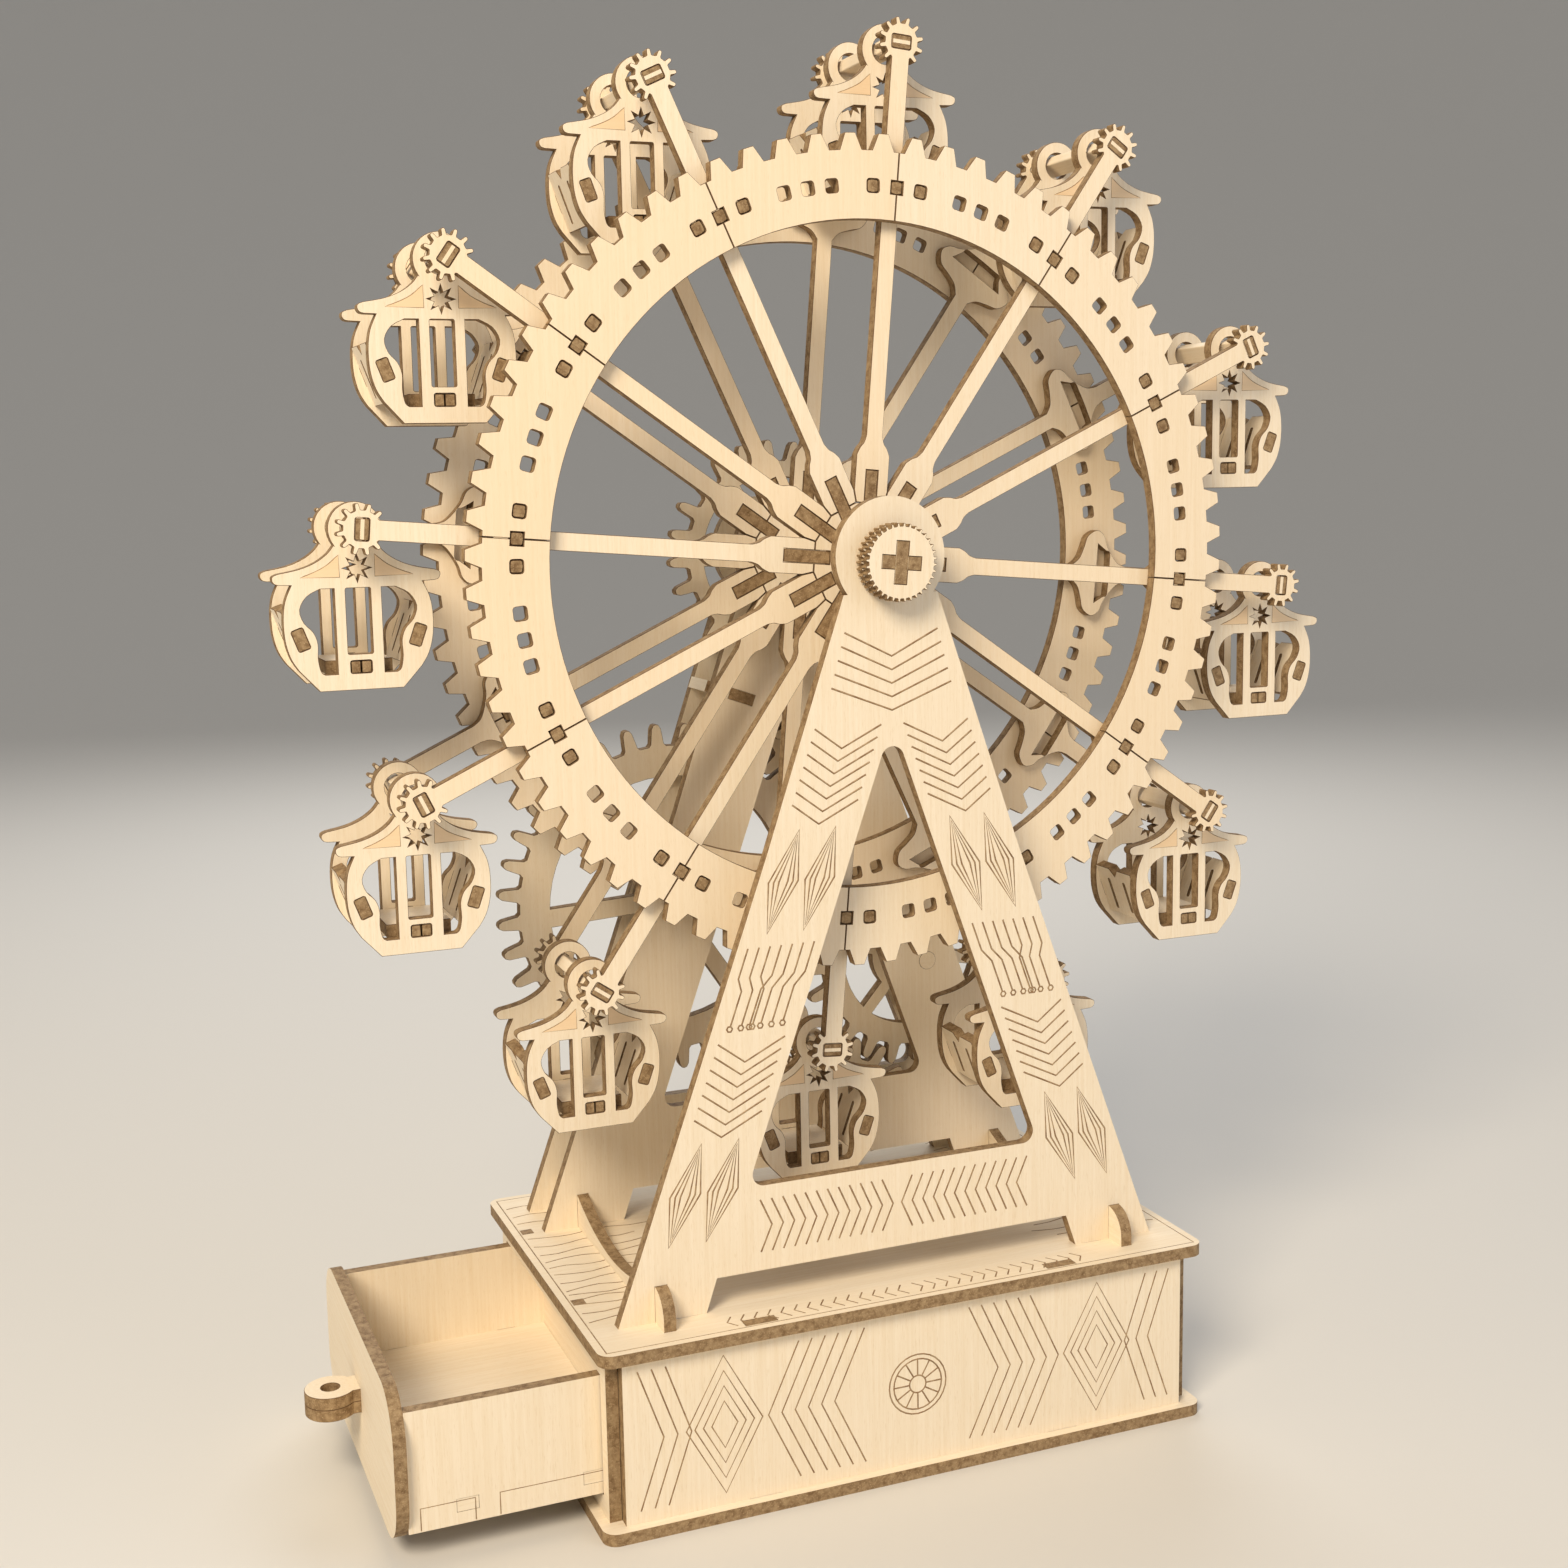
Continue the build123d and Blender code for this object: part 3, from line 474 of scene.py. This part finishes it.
def toothed(root, tip, teeth, first=0.0, shown=None, centre=(0, 0), profile=fingerTooth):
    loop = []
    for n in range(shown or teeth):
        for lag, height in profile:
            x, y = polar(root + (tip - root) * height, first + 360 / teeth * (n + lag))
            loop.append((centre[0] + x, centre[1] + y))
    return loop


def wheelArm():
    size = arm
    wedge = math.tan(math.radians(armStep / 2))
    inner, seam = size["flat"] + 0.1, 0.1
    half = [(inner, inner * wedge - seam), ((size["rootHalf"] + seam) / wedge, size["rootHalf"]),
            (size["rootEnd"], size["rootHalf"])]
    half += smooth([(size["rootEnd"] + 0.3, size["rootHalf"] - 0.1), *size["shoulder"],
                    (size["spokeStart"], size["spokeHalf"])], 3)
    half += smooth(size["head"], 4)
    shown = size["starTeeth"] - size["starMissing"]
    first = -180 / size["starTeeth"] * (shown - 1)
    star = toothed(size["starRoot"], size["starTip"], size["starTeeth"], first, shown, (hangRadius, 0))
    half.append((hangRadius - size["starRoot"] + 0.5, size["stripHalf"]))
    key = ply / 2 + size["play"]
    under = [(x, -y) for x, y in half]
    slotEnd = size["keyOuter"] + size["play"]
    slot = [(half[0][0], -key), (slotEnd, -key), (slotEnd, key), (half[0][0], key)]
    loop = under + star + half[::-1] + slot[::-1]
    hole = bar(ply + 2 * size["play"], size["holeLength"] + 2 * size["play"], (hangRadius, 0), 0, 0.5)
    bow = arc(size["smileOuter"], -size["smileSweep"], size["smileSweep"], 8)[::-1][1:-1]
    cornerX, cornerZ = size["smileCorner"]
    start = (size["smileInner"], size["smileHalf"])
    smile = [start, *smooth([start, (cornerX, cornerZ), *bow, (cornerX, -cornerZ),
                             (size["smileInner"], -size["smileHalf"])], 2)[1:]]
    return cutSheet([loop, hole, smile])


def crossHole(width, play=0.1):
    a, b = width / 2 + play, ply / 2 + play
    return [(a, b), (b, b), (b, a), (-b, a), (-b, b), (-a, b),
            (-a, -b), (-b, -b), (-b, -a), (b, -a), (b, -b), (a, -b)]


def hubDisc(crossWidth):
    size = arm
    loop = []
    rim = (size["flat"] - 0.1) / math.cos(math.radians(armStep / 2))
    key = ply / 2 + size["play"]
    for n in range(armCount):
        c, s = polar(1, armStep * n)
        corner = polar(rim, armStep * (n - 0.5))
        loop.append(corner)
        for x, y in ((size["flat"] - 0.1, -key), (size["keyInner"] - size["play"], -key),
                     (size["keyInner"] - size["play"], key), (size["flat"] - 0.1, key)):
            loop.append((x * c - y * s, x * s + y * c))
    return cutSheet([loop, crossHole(crossWidth)])


armMesh = wheelArm()
discMesh = hubDisc(9.8)
keyLength, keyMiddle = arm["keyOuter"] - arm["keyInner"], (arm["keyOuter"] + arm["keyInner"]) / 2
keyPly = ply - 0.1
keyMesh = cutSheet([bar(keyLength, ply, (keyMiddle, 0))], keyPly)
for seed, node in enumerate(("front_arms", "rear_arms")):
    y = sheetFront[node]
    label = "frontArms" if seed == 0 else "rearArms"
    settle(repeatRound(label, standing(armMesh, y), firstTurn, seed + 4), "wheel", nodes=[node])
    keys = repeatRound(label + "HubKeys", standing(keyMesh, y + 0.05, keyPly), firstTurn, seed + 6,
                       face=scorchedEdge)
    settle(keys, "wheel")
axleLow, axleHigh = (corner.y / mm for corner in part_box("cabin_axles"))
axleLength = axleHigh - axleLow + 2 * arm["proud"]
axleStrip = cutSheet([bar(ply, arm["holeLength"] - 0.1, (hangRadius, 0), 0, 0.4)], axleLength)
axleCore = cutSheet([bar(0.9, arm["holeLength"] - 0.4, (hangRadius, 0), 0, 0.1)], axleLength + 0.1, 0.02)
for label, mesh, length, look in (("cabinAxleStrips", axleStrip, axleLength, stripSide),
                                  ("cabinAxleCores", axleCore, axleLength + 0.1, sheetFace)):
    middle = (axleLow + axleHigh) / 2
    strips = repeatRound(label, standing(mesh, middle - length / 2, length), firstTurn, 9,
                         face=scorchedEdge if mesh is axleStrip else sheetFace, rim=look)
    settle(strips, "wheel", nodes=["cabin_axles"] if mesh is axleStrip else ())
discs = gather("hubDiscs", [(discMesh, upright(0, sheetFront[node], axle.z, firstTurn))
                            for node in ("front_arms", "rear_arms")], sheetLook)
settle(discs, "wheel", nodes=["hub_discs"])

cap = {"tip": 9.1, "root": 8.35, "teeth": 36, "cross": 9.8, "phase": 4.0}
capLow, capHigh = (corner.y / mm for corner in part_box("axle_cap"))
capPly = (capHigh - capLow) / 2
capDisc = cutSheet([toothed(cap["root"], cap["tip"], cap["teeth"]), crossHole(cap["cross"])], capPly)
caps = [(capDisc, upright(0, capLow, axle.z, firstTurn, capPly)),
        (cutSheet([toothed(cap["root"], cap["tip"], cap["teeth"], cap["phase"]), crossHole(cap["cross"])],
                  capPly),
         upright(0, capLow + capPly, axle.z, firstTurn, capPly))]
settle(gather("axleCap", caps, sheetLook), "wheel", nodes=["axle_cap"])
print("arms, hub and cap cut")

# Gears

gearLook = {
    "driveModule": 2.5, "wheelModule": 2.3, "above": 1.05, "below": 1.3,
    "shaft": 4.0, "pinHole": 2.8, "pin": 2.66, "play": 0.1,
    "gears": {  # node: (body, joint, module, teeth, turn, windows' span, spoke width)
        "wheel_gear": ("wheel", "wheel_spin", "wheelModule", 24, 3.2, (11.0, 20.5), 3.5),
        "transfer_gear_small": ("transfer", "transfer_spin", "wheelModule", 16, 110.344, None, 0),
        "transfer_gear_large": ("transfer", "transfer_spin", "driveModule", 20, 219.475, None, 0),
        "large_gear": ("large_gear", "large_gear_spin", "driveModule", 36, 3.4, (10.0, 33.5), 5.0),
        "idler_gear": ("idler_gear", "idler_spin", "driveModule", 24, 168.65, (12.0, 20.5), 3.5),
        "crank_pinion": ("crank", "crank_spin", "driveModule", 12, 52.7, None, 0),
    },
}
gearTooth = [(-0.33, 0.0), (-0.245, 0.12), (-0.205, 0.45), (-0.160, 0.80), (-0.085, 0.97), (0.0, 1.0),
             (0.085, 0.97), (0.160, 0.80), (0.205, 0.45), (0.245, 0.12), (0.33, 0.0)]


def gearWindow(span, spokeWidth, middle, spokes=6):
    half = 180 / spokes
    low, high = (half - math.degrees(spokeWidth / 2 / r) for r in span)
    return (arc(span[0], middle + low, middle - low, 4) + arc(span[1], middle - high, middle + high, 8))


for node, (body, joint, moduleName, teeth, turn, windows, spokeWidth) in gearLook["gears"].items():
    module = gearLook[moduleName]
    pitch = module * teeth / 2
    root, tip = pitch - gearLook["below"] * module, pitch + gearLook["above"] * module
    loops = [toothed(root, tip, teeth, turn, profile=gearTooth)]
    if windows:
        loops += [gearWindow(windows, spokeWidth, turn + 60 * (n + 0.5)) for n in range(6)]
    if node == "wheel_gear":
        c, s = polar(1, firstTurn)
        loops.append([(x * c - y * s, x * s + y * c) for x, y in crossHole(cap["cross"])])
    elif node in ("large_gear", "idler_gear"):
        loops.append(arc(gearLook["pinHole"], 0, 345, 23))
    else:
        loops.append(bar(gearLook["shaft"] + 2 * gearLook["play"], ply + 2 * gearLook["play"]))
    spot = places[joint]
    piece = gather(node + "Cut", [(cutSheet(loops), upright(spot.x, sheetFront[node], spot.z))], sheetLook)
    settle(piece, body, nodes=[node])
pinLow, pinHigh = (corner.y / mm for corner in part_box("gear_pins"))
pinLength = pinHigh - pinLow + 2 * gearLook["play"]
pinMesh = cutSheet([arc(gearLook["pin"], 0, 345, 23)], pinLength, 0.2)
pinSpots = [upright(places[joint].x, pinLow - gearLook["play"], places[joint].z, 0, pinLength)
            for joint in ("large_gear_spin", "idler_spin")]
pins = gather("gearPinDowels", [(pinMesh, spot) for spot in pinSpots], [dowelWood, dowelWood, scorchLine])
settle(pins, "base", ["gear_pins"])
print("gears cut")

# Cabins

cabin = {
    "boss": 6.0, "bossHole": 3.3,
    "roof": [(4.9, -3.5), (6.4, -5.3), (9.0, -7.1), (12.6, -8.5), (17.3, -9.4)],
    "tip": [(17.3, -9.4), (18.4, -9.9), (18.6, -10.8), (18.1, -11.6), (17.2, -11.9)],
    "body": [(14.5, -12.0), (16.0, -15.4), (16.6, -19.4), (16.4, -24.2), (15.3, -28.2), (13.6, -31.0)],
    "floorCorner": (9.3, -35.7),
    "window": [(8.3, -13.0), (11.3, -14.6), (12.9, -17.4), (12.1, -20.3), (10.2, -22.4), (9.3, -25.0),
               (9.4, -28.4), (8.9, -31.2), (8.0, -32.0)],
    "barNear": 2.8, "barFar": 5.2, "windowTop": -13.0, "windowFoot": -32.0, "middleFoot": -27.7,
    "slotTop": -29.1, "slotHalf": 2.4, "tab": (13.0, -24.0), "tabSize": (5.0, 2.8), "tabLean": 20.0,
    "star": (0, -8.6), "starTip": 3.1, "starRoot": 1.5, "starPoints": 8,
    "benchLength": 14.0, "notchHalf": 2.0, "notchDepth": 2.2, "benchWall": 2.8,
    "floorWidth": 15.0, "floorTop": -29.1,
}


def cabinPanel():
    size = cabin
    half = arc(size["boss"], 90, -36, 12)
    half[0] = (0.0, size["boss"])
    half += smooth(size["roof"], 4) + smooth(size["tip"], 3)[1:]
    half += smooth(size["body"], 4) + [size["floorCorner"]]
    loops = [mirrored(half), arc(size["bossHole"], 0, 345, 23)]
    for side in (-1, 1):
        window = [(size["barFar"], size["windowTop"]), *smooth(size["window"], 3),
                  (size["barFar"], size["windowFoot"])]
        loops.append([(side * x, z) for x, z in window])
        spot, lean = (side * size["tab"][0], size["tab"][1]), side * -size["tabLean"] + 90
        loops.append(bar(*size["tabSize"], spot, lean, 0.5))
    top, foot = size["windowTop"], size["middleFoot"]
    loops.append(bar(2 * size["barNear"], top - foot, (0, (top + foot) / 2), 0, 0.4))
    loops.append(bar(2 * size["slotHalf"], size["slotTop"] - size["windowFoot"],
                     (0, (size["slotTop"] + size["windowFoot"]) / 2), 0, 0.5))
    loops.append([(size["star"][0] + polar(r, t)[0], size["star"][1] + polar(r, t)[1])
                  for n in range(size["starPoints"])
                  for r, t in ((size["starTip"], 90 + 45 * n), (size["starRoot"], 112.5 + 45 * n))])
    return cutSheet(loops)


def cabinBench(width):
    # board across the cabin: two long slits and a notched top, a tab at each end
    size = cabin
    a, b, tab = width / 2, size["benchLength"] / 2, size["tabSize"][0] / 2 - 0.15
    out, notch, dip = a + ply - 0.1, size["notchHalf"], size["notchDepth"]
    loop = [(a, -b), (a, -tab), (out, -tab), (out, tab), (a, tab), (a, b), (notch, b), (0, b - dip),
            (-notch, b), (-a, b), (-a, tab), (-out, tab), (-out, -tab), (-a, -tab), (-a, -b)]
    slits = [bar(1.0, 9.0, (side * 3.6, -0.8), 0, 0.4) for side in (-1, 1)]
    return cutSheet([loop, *slits], size["benchWall"])


def cabinFloor(width):
    size = cabin
    a, b = width / 2, size["floorWidth"] / 2
    loop = []
    for sx, sy in ((1, -1), (1, 1), (-1, 1), (-1, -1)):
        loop.append((sx * b, sy * a))
    tabs = [bar(1.9, 2 * (a + ply - 0.15), (side * 1.2, 0)) for side in (-1, 1)]
    return loop, tabs


cabinMesh = cabinPanel()
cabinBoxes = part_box("cabin_01")
cabinFrontY, cabinBackY = cabinBoxes[0].y / mm, cabinBoxes[1].y / mm
inside = cabinBackY - cabinFrontY - 2 * ply
benchMesh = cabinBench(inside)
floorLoop, floorTabs = cabinFloor(inside)
cabinFloorMesh = cutSheet([floorLoop])
tabMeshes = [cutSheet([tab], ply - 0.4) for tab in floorTabs]
middleY = (cabinFrontY + cabinBackY) / 2


def engrave(name, strokes, matrices, width=0.36, body="base"):
    # scorch lines on a face: fine flat threads along the strokes
    curve = bpy.data.curves.new(name, "CURVE")
    curve.bevel_depth = width / 2 * mm
    curve.bevel_resolution = 0
    for stroke in strokes:
        closed = len(stroke) > 2 and stroke[0] == stroke[-1]
        points = stroke[:-1] if closed else stroke
        spline = curve.splines.new("POLY")
        spline.points.add(len(points) - 1)
        for point, (x, y) in zip(spline.points, points):
            point.co = (x * mm, y * mm, 0, 1)
        spline.use_cyclic_u = closed
    curve.dimensions = "3D"
    curve.twist_mode = "Z_UP"
    holder = bpy.data.objects.new(name, curve)
    scene.collection.objects.link(holder)
    graph = bpy.context.evaluated_depsgraph_get()
    mesh = bpy.data.meshes.new_from_object(holder.evaluated_get(graph))
    bpy.data.objects.remove(holder)
    mesh.transform(Matrix.Diagonal((1, 1, 0.2, 1)))
    piece = gather(name, [(mesh, matrix) for matrix in matrices], [engravedLine])
    return settle(piece, body)


tintedFace = plywood("basswoodTintedFace", "X", tinted=True)
bracket = smooth([(12.4, -10.4), (9.6, -9.4), (6.6, -7.9), (4.0, -5.7)], 3) + [(3.95, -10.5), (12.4, -10.4)]
tintMesh = bothSides(cutSheet([bracket[:-1]], 0.1, 0.01))
for number in range(1, armCount + 1):
    body = f"cabin_{number:02d}"
    hang = places[body + "_swing"]
    parts = [(cabinMesh, upright(hang.x, y, hang.z)) for y in (cabinFrontY, cabinBackY - ply)]
    for side in (-1, 1):
        spot = Vector((hang.x + side * cabin["tab"][0], middleY, hang.z + cabin["tab"][1])) * mm
        turn = Matrix.Rotation(math.radians(side * cabin["tabLean"]), 4, "Y")
        board = Matrix(((0, 0, 1, 0), (1, 0, 0, 0), (0, 1, 0, 0), (0, 0, 0, 1)))
        parts.append((benchMesh, Matrix.Translation(spot) @ turn @ board))
    flat = Matrix.Translation(Vector((hang.x, middleY, hang.z + cabin["floorTop"] - ply / 2)) * mm)
    parts += [(cabinFloorMesh, flat), *((mesh, flat) for mesh in tabMeshes)]
    settle(gather(f"cabin{number:02d}Cut", parts, sheetLook), body, nodes=[body])
    settle(gather(f"cabin{number:02d}Tint", [(tintMesh, upright(hang.x, cabinFrontY - 0.03, hang.z, 0, 0.1))],
                  [tintedFace] * 3), body)
    engrave(f"cabin{number:02d}Lines", [bracket, [(-x, z) for x, z in bracket]],
            [upright(hang.x, cabinFrontY, hang.z, 0, 0)], 0.34, body)
print("cabins cut")

# Drawer pull

pull = {"ring": 6.2, "hole": 2.3, "tongue": 8.0}
pullLow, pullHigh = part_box("drawer_pull")
ringX, plateX = pullLow.x / mm + pull["ring"], pullHigh.x / mm
pullPly = (pullHigh.z - pullLow.z) / mm / 2
half = pull["tongue"] / 2
reach = math.sqrt(pull["ring"] ** 2 - half ** 2)
sweep = math.degrees(math.asin(half / pull["ring"]))
pullLoop = [(plateX - ringX, -half), (plateX - ringX, half), *arc(pull["ring"], sweep, 360 - sweep, 30)]
pullMesh = cutSheet([pullLoop, arc(pull["hole"], 0, 345, 23)], pullPly)
pullSpots = [Vector((ringX, 0, pullLow.z / mm + pullPly * (k + 0.5))) * mm for k in (0, 1)]
parts = [(pullMesh, Matrix.Translation(spot)) for spot in pullSpots]
settle(gather("drawerPullRings", parts, sheetLook), "drawer", nodes=["drawer_pull"])

# Engraving

legs = {
    "outer": [(-7.3, 12.1), (-66.7, 32.5), (-175.25, 72.0)],   # height from the axle, half width
    "inner": [(-37.5, 0.0), (-146.1, 39.0), (-175.25, 50.1)],
}


def halfWidth(line, z):
    for (z0, x0), (z1, x1) in zip(line, line[1:]):
        if z >= z1:
            return x0 + (x1 - x0) * max(0.0, (z0 - z) / (z0 - z1))
    return line[-1][1]


def onLeg(side, z, across):
    inner, outer = halfWidth(legs["inner"], z), halfWidth(legs["outer"], z)
    return (side * (inner + (outer - inner) * across), z)


def dot(x, z, radius=0.75):
    return arc(radius, 0, 300, 5, (x, z)) + [(x + radius, z)]


frameArt = {"low": 0.12, "high": 0.88, "start": -38.0, "end": -158.0,
            "gap": 2.9, "point": 5.0, "diamond": 24.0, "jog": (7.0, 10.0, 18.0, 18.7),
            "rows": 7, "rails": 7, "apexTop": -16.0, "apexRows": 5,
            "bandTop": -149.5, "bandFoot": -162.5, "bandHalf": 36.0}


def legStrokes(side):
    # chevrons, long diamonds and stepped rails take turns down the leg
    art, strokes, z, turn = frameArt, [], frameArt["start"], 0
    low, high = art["low"], art["high"]
    while z > art["end"]:
        if turn % 3 == 0:
            for n in range(art["rows"]):
                y = z - art["gap"] * n
                strokes.append([onLeg(side, y, low), onLeg(side, y - art["point"], 0.5),
                                onLeg(side, y, high)])
            z -= art["rows"] * art["gap"] + 3
        elif turn % 3 == 1:
            for left, right in ((low, 0.46), (0.54, high)):
                for inset in (0.0, 0.06, 0.12):
                    top, foot = z - 20 * inset, z - art["diamond"] + 20 * inset
                    middle, waist = (left + right) / 2, z - art["diamond"] / 2
                    strokes.append([onLeg(side, top, middle), onLeg(side, waist, right - inset),
                                    onLeg(side, foot, middle), onLeg(side, waist, left + inset),
                                    onLeg(side, top, middle)])
            z -= art["diamond"] + 3
        else:
            for n in range(art["rails"]):
                across = low + (high - low) * n / (art["rails"] - 1)
                drift = 0.08 if n < art["rails"] / 2 else -0.08
                shifted = across + drift
                leave, join, foot, pad = art["jog"]
                strokes.append([onLeg(side, z, across), onLeg(side, z - leave, across),
                                onLeg(side, z - join, shifted), onLeg(side, z - foot, shifted)])
                strokes.append(dot(*onLeg(side, z - pad, shifted), 0.7))
            z -= 22
        turn += 1
    return strokes


def frameStrokes():
    art = frameArt
    strokes = legStrokes(-1) + legStrokes(1)
    for n in range(art["apexRows"]):
        z = art["apexTop"] - 1.1 * art["gap"] * n
        half = halfWidth(legs["outer"], z) * 0.8
        strokes.append([(-half, z), (0.0, z - art["point"] - 1), (half, z)])
    middle = (art["bandTop"] + art["bandFoot"]) / 2
    for n in range(round(art["bandHalf"] / art["gap"])):
        x = 1.4 * art["gap"] + art["gap"] * n
        for side in (-1, 1):
            strokes.append([(side * x, art["bandTop"]), (side * (x - art["gap"]), middle),
                            (side * x, art["bandFoot"])])
    return strokes


engrave("frameEngraving", frameStrokes(), [upright(0, sheetFront["front_frame"], axle.z, 0, 0)], 0.45)

panelArt = {"foot": 6.0, "top": 40.0, "gap": 3.4, "start": 14.0, "rows": 6, "point": 8.0, "diamond": 50.0,
            "diamondHalf": 9.5, "insets": (0.0, 0.22, 0.44, 0.66),
            "edge": 71.0, "edgeRows": 3, "edgePoint": 6.0}


def panelLines():
    # chevrons either side of the middle, a nest of diamonds, and chevrons turned back at the ends
    art, strokes = panelArt, []
    middle, rise = (art["top"] + art["foot"]) / 2, (art["top"] - art["foot"]) / 2
    for side in (-1, 1):
        for n in range(art["rows"]):
            x = art["start"] + art["gap"] * n
            strokes.append([(side * x, art["foot"]), (side * (x + art["point"]), middle),
                            (side * x, art["top"])])
        for inset in art["insets"]:
            wide, high = art["diamondHalf"] * (1 - inset), rise * (1 - inset)
            corners = [(art["diamond"] + wide, middle), (art["diamond"], middle + high),
                     (art["diamond"] - wide, middle), (art["diamond"], middle - high)]
            strokes.append([(side * x, z) for x, z in corners + corners[:1]])
        for n in range(art["edgeRows"]):
            x = art["edge"] - art["gap"] * n
            strokes.append([(side * x, art["foot"]), (side * (x - art["edgePoint"]), middle),
                            (side * x, art["top"])])
    return strokes


panelStrokes = panelLines()
for k in range(12):  # a plain rosette fills the middle
    a, b = polar(2.2, 30 * k), polar(6.4, 30 * k)
    panelStrokes.append([(a[0], 23 + a[1]), (b[0], 23 + b[1])])
panelStrokes += [[(x, 23 + y) for x, y in arc(r, 0, 360, 28)] for r in (2.2, 6.4, 7.6)]
engrave("frontPanelEngraving", panelStrokes, [upright(0, sheetFront["base_front_panel"], 0, 0, 0)], 0.38)

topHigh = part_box("base_top")[1]
a, b = topHigh.x / mm, topHigh.y / mm
plateStrokes = [[(-a + 2, -b + 2), (a - 2, -b + 2), (a - 2, b - 2), (-a + 2, b - 2), (-a + 2, -b + 2)]]
for y in (44.0, 37.5, 32.0, 20.6, 15.1, 9.8, 5.2, 0.4, -4.4, -9.2, -13.9, -17.6, -20.2, -23.7, -28.2, -33.0):
    for side in (-1, 1):
        reach = 26 + y % 7
        wave = [(side * (a - 3 - reach * k / 6), y + 0.8 * math.sin(1.7 * k + y)) for k in range(7)]
        plateStrokes.append(smooth(wave, 2))
edgeBand = {"half": 46.0, "gap": 3.4, "front": -49.5, "back": -44.3, "point": 1.8}
for n in range(round(edgeBand["half"] / edgeBand["gap"])):
    x = 1.5 + edgeBand["gap"] * n
    for side in (-1, 1):
        plateStrokes.append([(side * x, edgeBand["front"]),
                             (side * (x + edgeBand["point"]), (edgeBand["front"] + edgeBand["back"]) / 2),
                             (side * x, edgeBand["back"])])
drawerLow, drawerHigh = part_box("drawer_sides")
drawerStrokes = []
for start, end in ((0.05, 0.27), (0.37, 0.88)):
    x0, x1 = (drawerLow.x / mm + (drawerHigh.x - drawerLow.x) / mm * share for share in (start, end))
    foot = drawerLow.z / mm
    drawerStrokes.append([(x0, foot + 0.3), (x0, foot + 5.6), (x1, foot + 5.6), (x1, foot + 0.3)])
engrave("drawerSeams", drawerStrokes, [upright(0, drawerLow.y / mm, 0, 0, 0)], 0.3, "drawer")
engrave("topPlateEngraving", plateStrokes, [Matrix.Translation((0, 0, topHigh.z))], 0.42)
print("engraving done")

# Camera, light, floor

view = {"place": (-194.89, -448.56, 240.88), "yaw": 21.357, "pitch": 8.095, "roll": -1.182,
        "lens": 44.31, "shift": (0.0191, -0.0191)}
yaw, pitch, roll = (math.radians(view[k]) for k in ("yaw", "pitch", "roll"))
forward = Vector((math.sin(yaw) * math.cos(pitch), math.cos(yaw) * math.cos(pitch), -math.sin(pitch)))
right = Vector((math.cos(yaw), -math.sin(yaw), 0))
up = right.cross(forward)
rolledRight = right * math.cos(roll) + up * math.sin(roll)
rolledUp = up * math.cos(roll) - right * math.sin(roll)
lens = bpy.data.cameras.new("photoView")
lens.sensor_width, lens.lens = 36.0, view["lens"]
lens.shift_x, lens.shift_y = view["shift"]
lens.clip_start, lens.clip_end = 0.01, 20
camera = bpy.data.objects.new("photoView", lens)
camera.matrix_world = Matrix((rolledRight, rolledUp, -forward)).transposed().to_4x4()
camera.location = Vector(view["place"]) * mm
scene.collection.objects.link(camera)
scene.camera = camera

bowl = {"flat": 1.6, "curve": 2.4, "turns": 48, "steps": 14, "sweep": 75}  # metres, degrees
profile = [(0.02, 0.0), (bowl["flat"], 0.0)]
for k in range(1, bowl["steps"] + 1):
    lift = math.radians(bowl["sweep"] * k / bowl["steps"])
    profile.append((bowl["flat"] + bowl["curve"] * math.sin(lift), bowl["curve"] * (1 - math.cos(lift))))
corners, quads = [], [tuple(range(bowl["turns"]))]
for radius, height in profile:
    corners += [(*polar(radius, 360 * n / bowl["turns"]), height) for n in range(bowl["turns"])]
for row in range(len(profile) - 1):
    for n in range(bowl["turns"]):
        here, after = row * bowl["turns"] + n, row * bowl["turns"] + (n + 1) % bowl["turns"]
        quads.append((here, here + bowl["turns"], after + bowl["turns"], after))
floorMesh = bpy.data.meshes.new("studioFloor")
floorMesh.from_pydata(corners, [], quads)
for polygon in floorMesh.polygons:
    polygon.use_smooth = True
floor = bpy.data.objects.new("studioFloor", floorMesh)
scene.collection.objects.link(floor)
floorLook = bpy.data.materials.new("paleFloor")
floorLook.use_nodes = True
floorLook.node_tree.nodes["Principled BSDF"].inputs["Base Color"].default_value = tone("#D9D6D0")
floorLook.node_tree.nodes["Principled BSDF"].inputs["Roughness"].default_value = 0.9
floorMesh.materials.append(floorLook)

world = bpy.data.worlds.new("softRoom")
scene.world = world
world.use_nodes = True
world.node_tree.nodes["Background"].inputs["Color"].default_value = tone("#E4E6EA")
world.node_tree.nodes["Background"].inputs["Strength"].default_value = 0.42
lamps = {  # place in metres, size, watts, colour
    "keyLamp": ((-0.75, -0.75, 0.95), 0.5, 17.5, "#FFEFD6"),
    "fillLamp": ((0.9, -0.8, 0.5), 0.9, 3.2, "#F4F5FF"),
    "backLamp": ((0.3, 0.9, 0.8), 0.7, 5.0, "#FFFFFF"),
}
for name, (spot, size, watts, colour) in lamps.items():
    light = bpy.data.lights.new(name, "AREA")
    light.size, light.energy, light.color = size, watts, tone(colour)[:3]
    lamp = bpy.data.objects.new(name, light)
    lamp.location = spot
    lamp.rotation_mode = "QUATERNION"
    lamp.rotation_quaternion = (Vector((0, 0, 0.18)) - Vector(spot)).to_track_quat("-Z", "Y")
    scene.collection.objects.link(lamp)
scene.view_settings.view_transform = "Standard"
print("camera and lights set")
